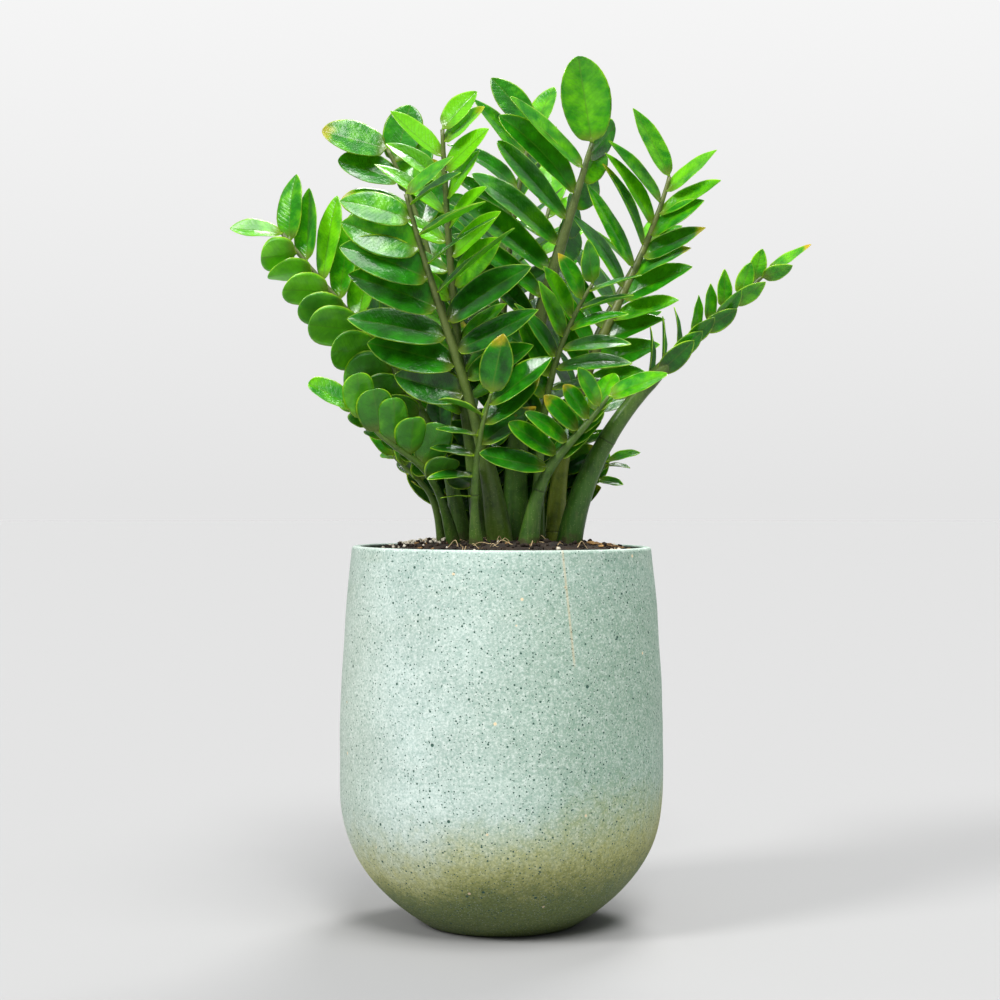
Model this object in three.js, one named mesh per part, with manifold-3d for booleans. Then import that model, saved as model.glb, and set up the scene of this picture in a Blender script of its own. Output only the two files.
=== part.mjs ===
// A potted ZZ plant (Zamioculcas zamiifolia) in a round terrazzo planter.
// Millimetres, +Z up. The origin is the centre of the pot's flat underside, and the plant's front faces -Y.
// The pot and its soil are turned solids. Each frond is one solid: a stem that tapers from a swollen foot,
// with leaflets in two ranks and one at the tip, their roots sunk into the stem.

import * as THREE from 'three';
import { mergeVertices } from 'three/addons/utils/BufferGeometryUtils.js';
import Module from 'manifold-3d';

const wasm = await Module();
wasm.setup();

// ---- driving dimensions ----

const POT_HEIGHT = 376;
const RIM_RADIUS = 149;
const BELLY_RADIUS = 161.3; // the widest place, at BELLY_HEIGHT
const BELLY_HEIGHT = 157;
const BASE_RADIUS = 75;
const BASE_CURVE = 2.95; // how quickly the wall swells out of the base: a higher power bulges sooner
const WALL = 11;
const FLOOR = 13;
const RIM_ROUND = 2.5;
const INNER_BEVEL = 2;
const AROUND = 28; // facets round the pot

const SOIL_AT_WALL = 367;
const SOIL_MOUND = 13; // how much higher the soil stands in the middle, where the stems come up
const SOIL_LUMPS = 1.2;
const SEAT_GAP = 0.3; // between pieces that touch on the real plant

const FOOT_HEIGHT = 352; // where the stems end, inside the soil
const STEM_SIDES = 6;
const STEM_RINGS = [0, 0.12, 0.27, 0.42, 0.52, 0.62, 0.72, 0.82, 0.91, 1]; // as parts of the midline
const LEAF_THICKNESS = 1.3;
const LEAF_DROOP = 0.08; // how far the tip sinks, as a part of the leaflet's length
const LEAF_STATIONS = [0.2, 0.5, 0.8]; // where the outline has its points, as parts of the length
const LEAF_CLEARANCE = 1.8; // free room round each leaflet
const LOWEST_LEAF = POT_HEIGHT + 12;
const SWAY = 0.14; // a leaflet's random lean, as a part of its length
const ROLL = 16; // its random roll about its own length, in degrees
const UNEVEN = 0.09; // the random part of its size

// Each frond stands on the soil at foot [x, y], and its midline runs through the three points of path.
// stem is the radius at the foot, at the tip and, where it is given, at the first leaflets. leafy is the
// stretch of the midline that bears leaflets, as parts of its length, with pairs leaflets in each rank. leaf
// is a full leaflet's length and width, lowest the size of the first leaflets as a part of it, taper the part
// of it that is lost towards the tip, and blunt how round a leaflet's end is, from 0 to about 1. left and
// right are the ranks: low and high are the leaflets' directions at the two ends of that stretch, face is the
// way their upper side looks, faceHigh the same at the upper end where it differs, and long, wide and blunt
// change a rank's leaflets. tip is the end leaflet.
const FRONDS = [
  {
    name: 'frond_front_tall', foot: [1, -32], path: [[-20, -60, 478], [-54, -82, 590], [-91, -98, 712]],
    stem: [14, 2.0, 5.2], leafy: [0.47, 0.97], pairs: 7,
    leaf: [98, 46], blunt: 0.4, taper: 0.38, lowest: 0.72,
    left: { low: [-0.92, -0.16, 0.30], high: [-0.97, -0.20, 0.20], face: [0.10, -0.90, 0.42], wide: 1.04 },
    right: {
      low: [0.80, -0.28, 0.52], high: [0.76, -0.30, 0.60], face: [-0.30, -0.80, 0.52],
      faceHigh: [-0.42, -0.14, 0.90], wide: 0.96,
    },
    tip: { lead: [0.74, -0.30, 0.58], face: [-0.30, -0.70, 0.62], leaf: [58, 26] },
  },
  {
    name: 'frond_front_small', foot: [-22, -62], path: [[-26, -80, 432], [-20, -92, 484], [-10, -100, 522]],
    stem: [9, 1.5], leafy: [0.42, 0.93], pairs: 5, leaf: [46, 22], blunt: 0.3, taper: 0.0,
    left: { low: [-0.95, -0.25, 0.05], high: [-0.80, -0.20, 0.45], face: [-0.05, -0.25, 0.95] },
    right: {
      low: [-0.10, 0.85, 0.45], high: [0.82, -0.10, 0.56], face: [-0.42, -0.80, 0.42],
      long: 1.72, wide: 1.75,
    },
    tip: { lead: [0.20, -0.10, 0.97], face: [-0.15, -0.95, 0.10], leaf: [58, 34] },
  },
  {
    name: 'frond_front_right', foot: [24, -52], path: [[37, -66, 432], [62, -80, 472], [102, -94, 520]],
    stem: [12, 1.6], leafy: [0.54, 0.97], pairs: 6, leaf: [50, 26], blunt: 0.7, taper: 0.15, lowest: 1.3,
    left: { low: [-0.95, -0.20, 0.24], high: [-0.25, -0.35, 0.90], face: [0.30, -0.85, 0.40], wide: 0.85 },
    right: { low: [0.60, 0.40, 0.60], high: [0.30, 0.20, 0.92], face: [-0.50, -0.80, 0.20], wide: 1.25 },
    tip: { lead: [0.88, -0.20, 0.40], face: [-0.20, -0.70, 0.70], leaf: [60, 30] },
  },
  {
    name: 'frond_west_low', foot: [-42, -36], path: [[-66, -70, 438], [-96, -94, 468], [-138, -112, 508]],
    stem: [8.5, 1.6], leafy: [0.46, 0.97], pairs: 6, leaf: [46, 33], blunt: 1.2, taper: 0.10, lowest: 0.95,
    left: { low: [0.16, -0.25, 0.96], high: [-0.34, -0.22, 0.92], face: [-0.52, 0.85, 0.05] },
    right: { low: [0.10, 0.85, 0.45], high: [-0.40, 0.80, 0.40], face: [-0.30, -0.50, 0.80] },
    tip: { lead: [-0.82, -0.20, 0.52], face: [0.30, -0.70, 0.62], leaf: [50, 28] },
  },
  {
    name: 'frond_west_thin', foot: [-58, -14], path: [[-65, -22, 412], [-81, -28, 440], [-106, -32, 464]],
    stem: [6, 1.5], leafy: [0.70, 0.97], pairs: 2, leaf: [38, 24], blunt: 0.8,
    left: { low: [-0.05, -0.30, 0.95], high: [-0.15, -0.20, 0.97], face: [0.50, -0.80, 0.10] },
    right: { low: [-0.10, 0.80, 0.50], high: [-0.50, 0.60, 0.40], face: [-0.20, -0.60, 0.75] },
    tip: { lead: [-0.55, -0.10, 0.82], face: [0.30, -0.80, 0.40], leaf: [38, 24] },
  },
  {
    name: 'frond_top', foot: [17, 14], path: [[20, 8, 508], [50, 0, 644], [90, -10, 776]],
    stem: [14, 2.3, 9.5], leafy: [0.44, 0.97], pairs: 9, leaf: [106, 37], blunt: 0.8, taper: 0.08,
    left: {
      low: [-0.74, -0.15, 0.64], high: [-0.64, -0.28, 0.72],
      face: [0.62, -0.50, 0.60], faceHigh: [0.50, -0.76, 0.40],
    },
    right: {
      low: [0.26, 0.94, 0.04], high: [0.34, 0.42, 0.84], face: [0.92, -0.30, 0.16],
      long: 0.66, wide: 0.95, blunt: 1.0,
    },
    tip: { lead: [-0.14, -0.22, 0.96], face: [0.10, -0.94, 0.05], leaf: [86, 50] },
  },
  {
    name: 'frond_tall_left', foot: [-12, 4], path: [[-36, -12, 512], [-50, -28, 650], [-58, -40, 784]],
    stem: [13.5, 2.0], leafy: [0.36, 0.97], pairs: 10, leaf: [84, 34], blunt: 0.3, taper: 0.14,
    left: {
      low: [-0.88, -0.22, 0.42], high: [-0.80, -0.16, 0.58],
      face: [0.30, -0.72, 0.62], faceHigh: [0.42, -0.68, 0.60],
    },
    right: {
      low: [0.70, -0.42, 0.55], high: [0.58, -0.40, 0.70],
      face: [-0.50, -0.62, 0.60], faceHigh: [-0.62, -0.66, 0.42], long: 0.80,
    },
    tip: { lead: [0.62, -0.25, 0.74], face: [-0.45, -0.80, 0.40], leaf: [50, 30] },
  },
  {
    name: 'frond_right', foot: [55, -2], path: [[72, 8, 508], [122, 18, 628], [170, 24, 748]],
    stem: [11, 2.0, 6.0], leafy: [0.42, 0.96], pairs: 10,
    leaf: [92, 34], blunt: 0.3, taper: 0.10, lowest: 0.9,
    left: { low: [-0.74, -0.05, 0.62], high: [-0.62, -0.05, 0.78], face: [0.70, -0.56, 0.44] },
    right: {
      low: [0.88, -0.30, 0.36], high: [0.76, -0.38, 0.54],
      face: [-0.30, -0.72, 0.62], faceHigh: [-0.35, -0.66, 0.66], long: 0.80,
    },
    tip: { lead: [-0.40, -0.15, 0.90], face: [0.60, -0.70, 0.15], leaf: [78, 32] },
  },
  {
    name: 'frond_west', foot: [-40, -4], path: [[-66, -16, 482], [-132, -24, 583], [-216, -24, 684]],
    stem: [13, 1.8], leafy: [0.28, 0.97], pairs: 11, leaf: [90, 36], blunt: 0.5, taper: 0.36, lowest: 0.85,
    left: {
      low: [-0.86, -0.42, -0.16], high: [-0.94, -0.32, 0.00], face: [-0.05, 0.78, 0.62],
      long: 0.62, wide: 1.20, blunt: 1.0,
    },
    right: {
      low: [0.26, 0.06, 0.96], high: [0.04, -0.04, 0.99], face: [-0.66, -0.74, 0.14], long: 1.14, wide: 1.1,
    },
    tip: { lead: [-0.95, -0.20, 0.15], face: [0.00, -0.62, 0.78], leaf: [52, 28] },
  },
  {
    name: 'frond_east', foot: [64, -27], path: [[102, -40, 478], [178, -38, 570], [264, -18, 648]],
    stem: [13, 1.7, 7.6], leafy: [0.55, 0.97], pairs: 8,
    leaf: [38, 19], blunt: 0.3, taper: 0.05, lowest: 1.5,
    left: {
      low: [0.02, 0.05, 1.00], high: [0.30, -0.15, 0.94],
      face: [0.95, -0.25, 0.10], faceHigh: [0.25, -0.95, 0.15],
    },
    right: { low: [0.66, -0.36, 0.66], high: [0.80, -0.30, 0.52], face: [0.30, -0.85, -0.30] },
    tip: { lead: [0.82, -0.10, 0.55], face: [-0.45, -0.70, 0.55], leaf: [50, 17] },
  },
  {
    name: 'frond_middle_right', foot: [34, -14], path: [[38, -28, 466], [52, -50, 552], [88, -66, 630]],
    stem: [10, 1.8], leafy: [0.44, 0.97], pairs: 8, leaf: [72, 30], blunt: 0.2,
    left: { low: [-0.50, -0.30, 0.80], high: [-0.25, -0.20, 0.95], face: [0.62, -0.70, 0.30] },
    right: { low: [0.95, -0.25, 0.18], high: [0.92, -0.30, 0.30], face: [-0.15, -0.34, 0.92] },
    tip: { lead: [-0.12, -0.45, 0.88], face: [0.30, -0.85, 0.30], leaf: [44, 24] },
  },
  {
    name: 'frond_back_left', foot: [-36, 30], path: [[-44, 54, 500], [-68, 74, 648], [-119, 84, 787]],
    stem: [13, 2.0], leafy: [0.27, 0.96], pairs: 9, leaf: [80, 46], blunt: 0.8, taper: 0.12,
    left: { low: [-0.92, -0.25, 0.20], high: [-0.88, -0.30, 0.34], face: [0.05, -0.76, 0.64] },
    right: { low: [0.60, 0.70, 0.30], high: [0.10, -0.10, 0.99], face: [-0.30, -0.80, 0.50] },
    tip: { lead: [-0.92, -0.25, 0.26], face: [-0.15, -0.84, 0.52], leaf: [70, 44] },
  },
  {
    name: 'frond_back_middle', foot: [-10, 38], path: [[-4, 52, 509], [6, 62, 662], [33, 66, 804]],
    stem: [13, 2.0], leafy: [0.27, 0.97], pairs: 10, leaf: [92, 36], blunt: 0.4, taper: 0.15,
    left: { low: [-0.80, -0.10, 0.58], high: [-0.70, -0.14, 0.70], face: [0.50, -0.62, 0.50] },
    right: { low: [0.80, 0.45, 0.35], high: [0.40, 0.35, 0.85], face: [-0.50, -0.50, 0.70] },
    tip: { lead: [-0.58, -0.10, 0.80], face: [0.35, -0.85, 0.20], leaf: [68, 34] },
  },
  {
    name: 'frond_east_low', foot: [65, 26], path: [[74, 20, 408], [88, 16, 434], [105, 10, 459]],
    stem: [6, 1.4], leafy: [0.60, 0.97], pairs: 3, leaf: [34, 15], blunt: 0.3,
    left: { low: [0.40, -0.20, 0.90], high: [0.50, -0.20, 0.85], face: [0.20, -0.90, 0.30] },
    right: { low: [0.95, -0.20, -0.10], high: [0.95, -0.20, 0.10], face: [0.00, -0.40, 0.90] },
    tip: { lead: [0.95, -0.10, 0.35], face: [-0.20, -0.50, 0.80], leaf: [36, 15] },
  },
  {
    name: 'frond_back_right', foot: [46, 36], path: [[66, 74, 500], [108, 128, 610], [158, 176, 700]],
    stem: [11, 1.9], leafy: [0.25, 0.97], pairs: 7, leaf: [84, 38], blunt: 0.4,
    left: { low: [-0.75, 0.15, 0.65], high: [-0.60, 0.25, 0.75], face: [0.40, -0.30, 0.85] },
    right: { low: [0.85, 0.20, 0.30], high: [0.70, 0.30, 0.60], face: [-0.30, -0.30, 0.90] },
    tip: { lead: [0.40, 0.50, 0.75], face: [-0.30, -0.40, 0.80], leaf: [64, 34] },
  },
  {
    name: 'frond_back', foot: [22, 50], path: [[22, 98, 500], [30, 146, 620], [52, 190, 740]],
    stem: [11, 1.9], leafy: [0.25, 0.97], pairs: 7, leaf: [86, 38], blunt: 0.4,
    left: { low: [-0.85, 0.10, 0.50], high: [-0.70, 0.30, 0.65], face: [0.20, -0.35, 0.90] },
    right: { low: [0.85, 0.15, 0.45], high: [0.70, 0.30, 0.65], face: [-0.20, -0.35, 0.90] },
    tip: { lead: [0.10, 0.40, 0.90], face: [0.00, -0.80, 0.50], leaf: [66, 36] },
  },
  {
    name: 'frond_back_west', foot: [-22, 64], path: [[-40, 104, 480], [-78, 146, 580], [-128, 180, 668]],
    stem: [12, 1.9], leafy: [0.25, 0.97], pairs: 7, leaf: [78, 38], blunt: 0.5,
    left: { low: [-0.85, 0.10, 0.20], high: [-0.80, 0.30, 0.40], face: [-0.20, -0.35, 0.90] },
    right: { low: [0.45, 0.55, 0.65], high: [0.20, 0.60, 0.80], face: [-0.50, -0.20, 0.80] },
    tip: { lead: [-0.60, 0.40, 0.70], face: [0.20, -0.60, 0.70], leaf: [62, 34] },
  },
];

// The bends tried in turn, [sideways, up] in degrees, until a leaflet is clear of what stands already.
const BENDS = [
  [0, 0], [0, 6], [0, -6], [6, 0], [-6, 0], [0, 12], [0, -12], [12, 0], [-12, 0],
  [9, 9], [-9, 9], [9, -9], [-9, -9], [0, 19], [0, -19], [19, 0], [-19, 0],
  [14, 14], [-14, 14], [14, -14], [-14, -14], [0, 28], [0, -28], [28, 0], [-28, 0],
];
const SHORTER = [1, 0.85, 0.7, 0.55]; // and then the same with a shorter leaflet

const materials = {
  pot: new THREE.MeshStandardMaterial({ color: 0xa9bdb0, roughness: 0.75, metalness: 0 }),
  soil: new THREE.MeshStandardMaterial({ color: 0x3a2a1e, roughness: 1, metalness: 0 }),
  frond: new THREE.MeshStandardMaterial({ color: 0x3c8a1e, roughness: 0.35, metalness: 0 }),
};

// ---- small helpers ----

// A closed solid from a list of [x, y, z] points and a list of triangles, which are triples of indices.
function solid(points, triangles) {
  const mesh = new wasm.Mesh({
    numProp: 3,
    vertProperties: new Float32Array(points.flat()),
    triVerts: new Uint32Array(triangles.flat()),
  });
  return new wasm.Manifold(mesh);
}

// A profile of [radius, height] points, from the axis round the outside and back to the axis, turned about Z.
function turned(profile, lift = () => 0) {
  const points = profile.map(([radius, height]) => new THREE.Vector2(radius, height));
  const lathe = new THREE.LatheGeometry(points, AROUND);
  lathe.deleteAttribute('normal');
  lathe.deleteAttribute('uv');
  lathe.rotateX(Math.PI / 2);
  const geometry = mergeVertices(lathe, 1e-3);
  const at = geometry.attributes.position;
  const corners = Array.from({ length: at.count }, (_, i) => {
    const [x, y, z] = [at.getX(i), at.getY(i), at.getZ(i)];
    return [x, y, z + lift(x, y, z)];
  });
  const index = geometry.index.array;
  const triangles = [];
  for (let i = 0; i < index.length; i += 3) {
    const [a, b, c] = index.slice(i, i + 3);
    if (a !== b && b !== c && c !== a) triangles.push([a, b, c]);
  }
  return solid(corners, triangles);
}

function meshOf(name, body, material) {
  const { vertProperties, triVerts } = body.getMesh();
  const geometry = new THREE.BufferGeometry();
  geometry.setAttribute('position', new THREE.BufferAttribute(vertProperties, 3));
  geometry.setIndex(new THREE.BufferAttribute(triVerts, 1));
  geometry.computeVertexNormals();
  const mesh = new THREE.Mesh(geometry, material);
  mesh.name = name;
  return mesh;
}

const vector = (xyz) => new THREE.Vector3(...xyz);

// The part of v that is square to axis, as a unit vector.
const across = (v, axis) => v.clone().addScaledVector(axis, -v.dot(axis)).normalize();

// A repeatable draw between -1 and 1.
function draw(seed) {
  const x = Math.sin(seed * 12.9898) * 43758.5453;
  return 2 * (x - Math.floor(x)) - 1;
}

const blend = (from, to, share) => vector(from).lerp(vector(to), share);

// ---- pot and soil ----

// The pot's outer radius: it swells out of the base to the belly and draws in a little towards the rim.
function potRadius(height) {
  if (height < BELLY_HEIGHT) {
    return BELLY_RADIUS - (BELLY_RADIUS - BASE_RADIUS) * (1 - height / BELLY_HEIGHT) ** BASE_CURVE;
  }
  const above = (height - BELLY_HEIGHT) / (POT_HEIGHT - BELLY_HEIGHT);
  return BELLY_RADIUS - (BELLY_RADIUS - RIM_RADIUS) * above ** 2;
}

const wallRadius = (height) => potRadius(height - FLOOR) - WALL;

const INNER_STATIONS = [22, 48, 88, 140, 220, 300, SOIL_AT_WALL];

function makePot() {
  const outerStations = [0, 9, 26, 50, 82, 124, 180, 240, 310, POT_HEIGHT - RIM_ROUND];
  const outside = outerStations.map((height) => [potRadius(height), height]);
  const inside = [...INNER_STATIONS].reverse().map((height) => [wallRadius(height), height]);
  const rim = [45, 90].map((angle) => {
    const turn = THREE.MathUtils.degToRad(angle);
    return [
      potRadius(POT_HEIGHT) - RIM_ROUND + RIM_ROUND * Math.cos(turn),
      POT_HEIGHT - RIM_ROUND + RIM_ROUND * Math.sin(turn),
    ];
  });
  const innerEdge = [
    [wallRadius(POT_HEIGHT) + INNER_BEVEL, POT_HEIGHT],
    [wallRadius(POT_HEIGHT - INNER_BEVEL), POT_HEIGHT - INNER_BEVEL],
  ];
  const floor = [[wallRadius(FLOOR), FLOOR], [0, FLOOR]];
  return turned([[0, 0], ...outside, ...rim, ...innerEdge, ...inside, ...floor]);
}

// The soil fills the pot and rises in a low, lumpy mound, with a plain hole for each stem.
function makeSoil(stemHoles) {
  const bottom = FLOOR + SEAT_GAP;
  const sides = INNER_STATIONS.map((height) => [wallRadius(height) - SEAT_GAP - 0.1, height]);
  const edge = wallRadius(SOIL_AT_WALL) - SEAT_GAP - 0.1;
  const mound = [0.84, 0.6, 0.3, 0].map((share) => (
    [edge * share, SOIL_AT_WALL + SOIL_MOUND * (1 - share ** 3)]
  ));
  const lumps = (x, y, z) => (
    z > SOIL_AT_WALL + 0.5 ? SOIL_LUMPS * Math.sin(x / 11 + 2 * Math.sin(y / 17)) * Math.cos(y / 9) : 0
  );
  const body = turned([[0, bottom], [wallRadius(FLOOR) - SEAT_GAP, bottom], ...sides, ...mound], lumps);
  return body.subtract(wasm.Manifold.union(stemHoles));
}

// ---- stems ----

// The midline is the cubic that passes through its foot and three points at equal steps of its parameter.
// It is kept as a list of points with the share of the length up to each.
function midline(frond) {
  const [a, b, c, d] = [[...frond.foot, FOOT_HEIGHT], ...frond.path].map(vector);
  const steps = 60;
  const points = [];
  for (let i = 0; i <= steps; i += 1) {
    const s = i / steps;
    points.push(new THREE.Vector3()
      .addScaledVector(a, (1 - 3 * s) * (2 - 3 * s) * (1 - s) / 2)
      .addScaledVector(b, 9 * s * (2 - 3 * s) * (1 - s) / 2)
      .addScaledVector(c, 9 * s * (3 * s - 1) * (1 - s) / 2)
      .addScaledVector(d, s * (3 * s - 1) * (3 * s - 2) / 2));
  }
  const run = [0];
  for (let i = 1; i <= steps; i += 1) run.push(run[i - 1] + points[i].distanceTo(points[i - 1]));
  const length = run[steps];
  return { points, share: run.map((r) => r / length), length };
}

// The point and the direction at a share of the midline's length.
function along(line, share) {
  const last = line.points.length - 1;
  let i = 0;
  while (i < last - 1 && line.share[i + 1] <= share) i += 1;
  const part = (share - line.share[i]) / (line.share[i + 1] - line.share[i]);
  const point = line.points[i].clone().lerp(line.points[i + 1], part);
  const before = line.points[Math.max(i - 1, 0)];
  const after = line.points[Math.min(i + 2, last)];
  return { point, tangent: after.clone().sub(before).normalize() };
}

// The stalk is swollen at the foot and slims down smoothly to the first leaflets, and from there to the tip.
function stemRadius(frond, share) {
  const [foot, tip, middle = Math.max(tip * 1.7, foot * 0.42)] = frond.stem;
  const [firstLeaf] = frond.leafy;
  if (share > firstLeaf) return middle + (tip - middle) * (share - firstLeaf) / (1 - firstLeaf);
  const k = share / firstLeaf;
  return foot + (middle - foot) * k * k * (3 - 2 * k);
}

// A tapered tube of rings along the midline, closed at both ends. A hole for it is wider by extra all round.
function makeStem(frond, line, extra = 0) {
  const points = [];
  const triangles = [];
  STEM_RINGS.forEach((share) => {
    const { point, tangent } = along(line, share);
    const side = across(vector([1, 0, 0]), tangent);
    const front = tangent.clone().cross(side);
    const end = share === 0 ? -extra : 0;
    const radius = stemRadius(frond, share) + extra / Math.cos(Math.PI / STEM_SIDES);
    for (let k = 0; k < STEM_SIDES; k += 1) {
      const angle = 2 * Math.PI * k / STEM_SIDES;
      points.push(point.clone()
        .addScaledVector(tangent, end)
        .addScaledVector(side, radius * Math.cos(angle))
        .addScaledVector(front, radius * Math.sin(angle))
        .toArray());
    }
  });
  for (let ring = 0; ring < STEM_RINGS.length - 1; ring += 1) {
    for (let k = 0; k < STEM_SIDES; k += 1) {
      const next = (k + 1) % STEM_SIDES;
      const [a, b] = [ring * STEM_SIDES + k, ring * STEM_SIDES + next];
      triangles.push([a, b, b + STEM_SIDES], [a, b + STEM_SIDES, a + STEM_SIDES]);
    }
  }
  const top = (STEM_RINGS.length - 1) * STEM_SIDES;
  for (let k = 1; k < STEM_SIDES - 1; k += 1) {
    triangles.push([0, k + 1, k], [top, top + k, top + k + 1]);
  }
  return solid(points, triangles);
}

// ---- leaflets ----

// Half of the outline: a round base that is soon wide, nearly parallel sides, and an end that is pointed for
// a blunt of 0 and round for a blunt of 1.
function outline(u, blunt) {
  const base = (1 - (1 - u) ** 3) ** 0.5;
  const end = (1 - u ** (2.6 + 2 * blunt)) ** (0.95 - 0.4 * blunt);
  return base * end / 0.88;
}

// Leaflets are smaller at the low end of the frond and again, by the frond's taper, towards its tip.
function sizeAlong(frond, x) {
  const { lowest = 0.72, taper = 0.3 } = frond;
  if (x < 0.3) return lowest + (1 - lowest) * x / 0.3;
  return 1 - taper * Math.max((x - 0.45) / 0.55, 0) ** 1.4;
}

// Where each leaflet of a frond grows, which way, how it faces and how large it is, before any bending:
// first the end leaflet and then both ranks, from the tip down.
function leafPlaces(frond, line, number) {
  const lead = vector(frond.tip.lead).normalize();
  const [length, width] = frond.tip.leaf;
  const root = along(line, 1).point;
  const face = across(vector(frond.tip.face), lead);
  const places = [{ lead, face, root, length, width, blunt: frond.blunt }];
  for (let k = frond.pairs - 1; k >= 0; k -= 1) {
    [frond.left, frond.right].forEach((rank, side) => {
      const draws = [1, 2, 3, 4, 5].map((q) => draw(100 * number + 2 * k + side + 0.13 * q));
      const x = (k + side / 2) / (frond.pairs - 0.5);
      places.push(rankLeaf(frond, line, rank, x, draws));
    });
  }
  return places;
}

// One leaflet of a rank, at x from 0 at the lowest leaflets to 1 at the highest.
function rankLeaf(frond, line, rank, x, draws) {
  const share = frond.leafy[0] + (frond.leafy[1] - frond.leafy[0]) * x;
  const plain = blend(rank.low, rank.high, x).normalize();
  const look = blend(rank.face, rank.faceHigh ?? rank.face, x);
  const up = across(look, plain);
  const lead = plain.clone()
    .addScaledVector(up.clone().cross(plain), SWAY * draws[0])
    .addScaledVector(up, SWAY * draws[1])
    .normalize();
  return {
    lead,
    face: across(look, lead).applyAxisAngle(lead, THREE.MathUtils.degToRad(ROLL * draws[2])),
    root: along(line, share).point.addScaledVector(lead, stemRadius(frond, share) / 2),
    length: frond.leaf[0] * sizeAlong(frond, x) * (rank.long ?? 1) * (1 + UNEVEN * draws[3]),
    width: frond.leaf[1] * sizeAlong(frond, x) ** 0.7 * (rank.wide ?? 1) * (1 + UNEVEN * draws[4]),
    blunt: rank.blunt ?? frond.blunt,
  };
}

// The same leaflet turned at its root, sideways in its own plane and up out of it, and shortened.
function bent(place, [sideways, up], shorter) {
  const lead = place.lead.clone().applyAxisAngle(place.face, THREE.MathUtils.degToRad(sideways));
  const hinge = lead.clone().cross(place.face);
  const turn = THREE.MathUtils.degToRad(up);
  return {
    ...place,
    lead: lead.applyAxisAngle(hinge, turn),
    face: place.face.clone().applyAxisAngle(hinge, turn),
    length: place.length * shorter,
    width: place.width * (1 + shorter) / 2,
  };
}

// A thin blade that sinks towards its tip, with its two faces split alike. The first and last rows are one
// point wide and the others go from margin to margin. With room above 0 it is the space that the blade
// needs, without its root.
function makeLeaf({ root, lead, face, length, width, blunt }, room = 0) {
  const sideways = face.clone().cross(lead);
  const rows = [room > 0 ? 0.08 : 0, ...LEAF_STATIONS, 1];
  const last = rows.length - 1;
  const points = [];
  rows.forEach((u, i) => {
    const centre = root.clone()
      .addScaledVector(lead, length * u + (i === last ? room : 0))
      .addScaledVector(face, -LEAF_DROOP * length * u * u);
    const half = i === 0 || i === last ? 0 : width / 2 * outline(u, blunt) + room;
    [-half, half].forEach((offset) => {
      const middle = centre.clone().addScaledVector(sideways, offset);
      points.push(middle.clone().addScaledVector(face, LEAF_THICKNESS / 2 + room).toArray());
      points.push(middle.addScaledVector(face, -LEAF_THICKNESS / 2 - room).toArray());
    });
  });
  // each row has four numbers: the upper and lower point of one margin, and then of the other
  const number = (row, margin, lower) => (
    4 * row + (row === 0 || row === last ? 0 : 2 * margin) + lower
  );
  const triangles = [];
  const add = (...corners) => {
    if (new Set(corners).size === 3) triangles.push(corners);
  };
  for (let i = 0; i < last; i += 1) {
    const [a, b, c, d] = [number(i, 0, 0), number(i + 1, 0, 0), number(i + 1, 1, 0), number(i, 1, 0)];
    add(a, b, c);
    add(a, c, d);
    add(a + 1, c + 1, b + 1);
    add(a + 1, d + 1, c + 1);
    add(b, a, a + 1);
    add(b, a + 1, b + 1);
    add(d, c, c + 1);
    add(d, c + 1, d + 1);
  }
  return solid(points, triangles);
}

const boxesMeet = (a, b) => [0, 1, 2].every((k) => a.min[k] < b.max[k] && b.min[k] < a.max[k]);

// Is the space round a leaflet free of every other stem and of all leaflets placed so far?
function isFree(space, own, standing) {
  const box = space.boundingBox();
  if (box.min[2] < LOWEST_LEAF) return false;
  return !standing.some((thing) => (
    thing.stemOf !== own && boxesMeet(box, thing.box) && !space.intersect(thing.body).isEmpty()
  ));
}

// Places a frond's leaflets one by one, each bent just enough to be clear of what stands already.
function placeLeaves(frond, line, number, standing) {
  const leaves = [];
  for (const place of leafPlaces(frond, line, number)) {
    const tries = SHORTER.flatMap((shorter) => BENDS.map((bend) => [bend, shorter]));
    const found = tries.find(([bend, shorter]) => (
      isFree(makeLeaf(bent(place, bend, shorter), LEAF_CLEARANCE), frond.name, standing)
    ));
    if (!found) continue;
    const body = makeLeaf(bent(place, ...found));
    leaves.push(body);
    standing.push({ body, box: body.boundingBox() });
  }
  return leaves;
}

// ---- the whole plant ----

const lines = FRONDS.map(midline);
const stems = FRONDS.map((frond, i) => makeStem(frond, lines[i]));
const standing = stems.map((body, i) => ({ body, box: body.boundingBox(), stemOf: FRONDS[i].name }));
const leafSets = FRONDS.map((frond, i) => placeLeaves(frond, lines[i], i, standing));
const stemHoles = FRONDS.map((frond, i) => makeStem(frond, lines[i], SEAT_GAP));

const plant = new THREE.Group();
plant.add(meshOf('pot', makePot(), materials.pot));
plant.add(meshOf('soil', makeSoil(stemHoles), materials.soil));
FRONDS.forEach((frond, i) => {
  plant.add(meshOf(frond.name, wasm.Manifold.union([stems[i], ...leafSets[i]]), materials.frond));
});

export default plant;
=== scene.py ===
import bpy
import numpy as np
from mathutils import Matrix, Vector


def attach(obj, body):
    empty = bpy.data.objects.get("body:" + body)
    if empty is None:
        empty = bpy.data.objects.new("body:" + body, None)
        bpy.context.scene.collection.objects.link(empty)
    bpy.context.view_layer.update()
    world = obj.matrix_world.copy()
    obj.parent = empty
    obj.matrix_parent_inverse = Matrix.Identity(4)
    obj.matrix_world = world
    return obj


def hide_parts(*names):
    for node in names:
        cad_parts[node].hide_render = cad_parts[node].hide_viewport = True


# The looks of a potted ZZ plant (Zamioculcas zamiifolia): waxy leaflets on fleshy stalks, which grow from
# loose potting soil in a cast terrazzo pot. +Z is up, the plant's front faces -Y, and the origin is the
# middle of the pot's underside. Sizes and places are in millimetres, and make_piece turns them to metres.

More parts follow.
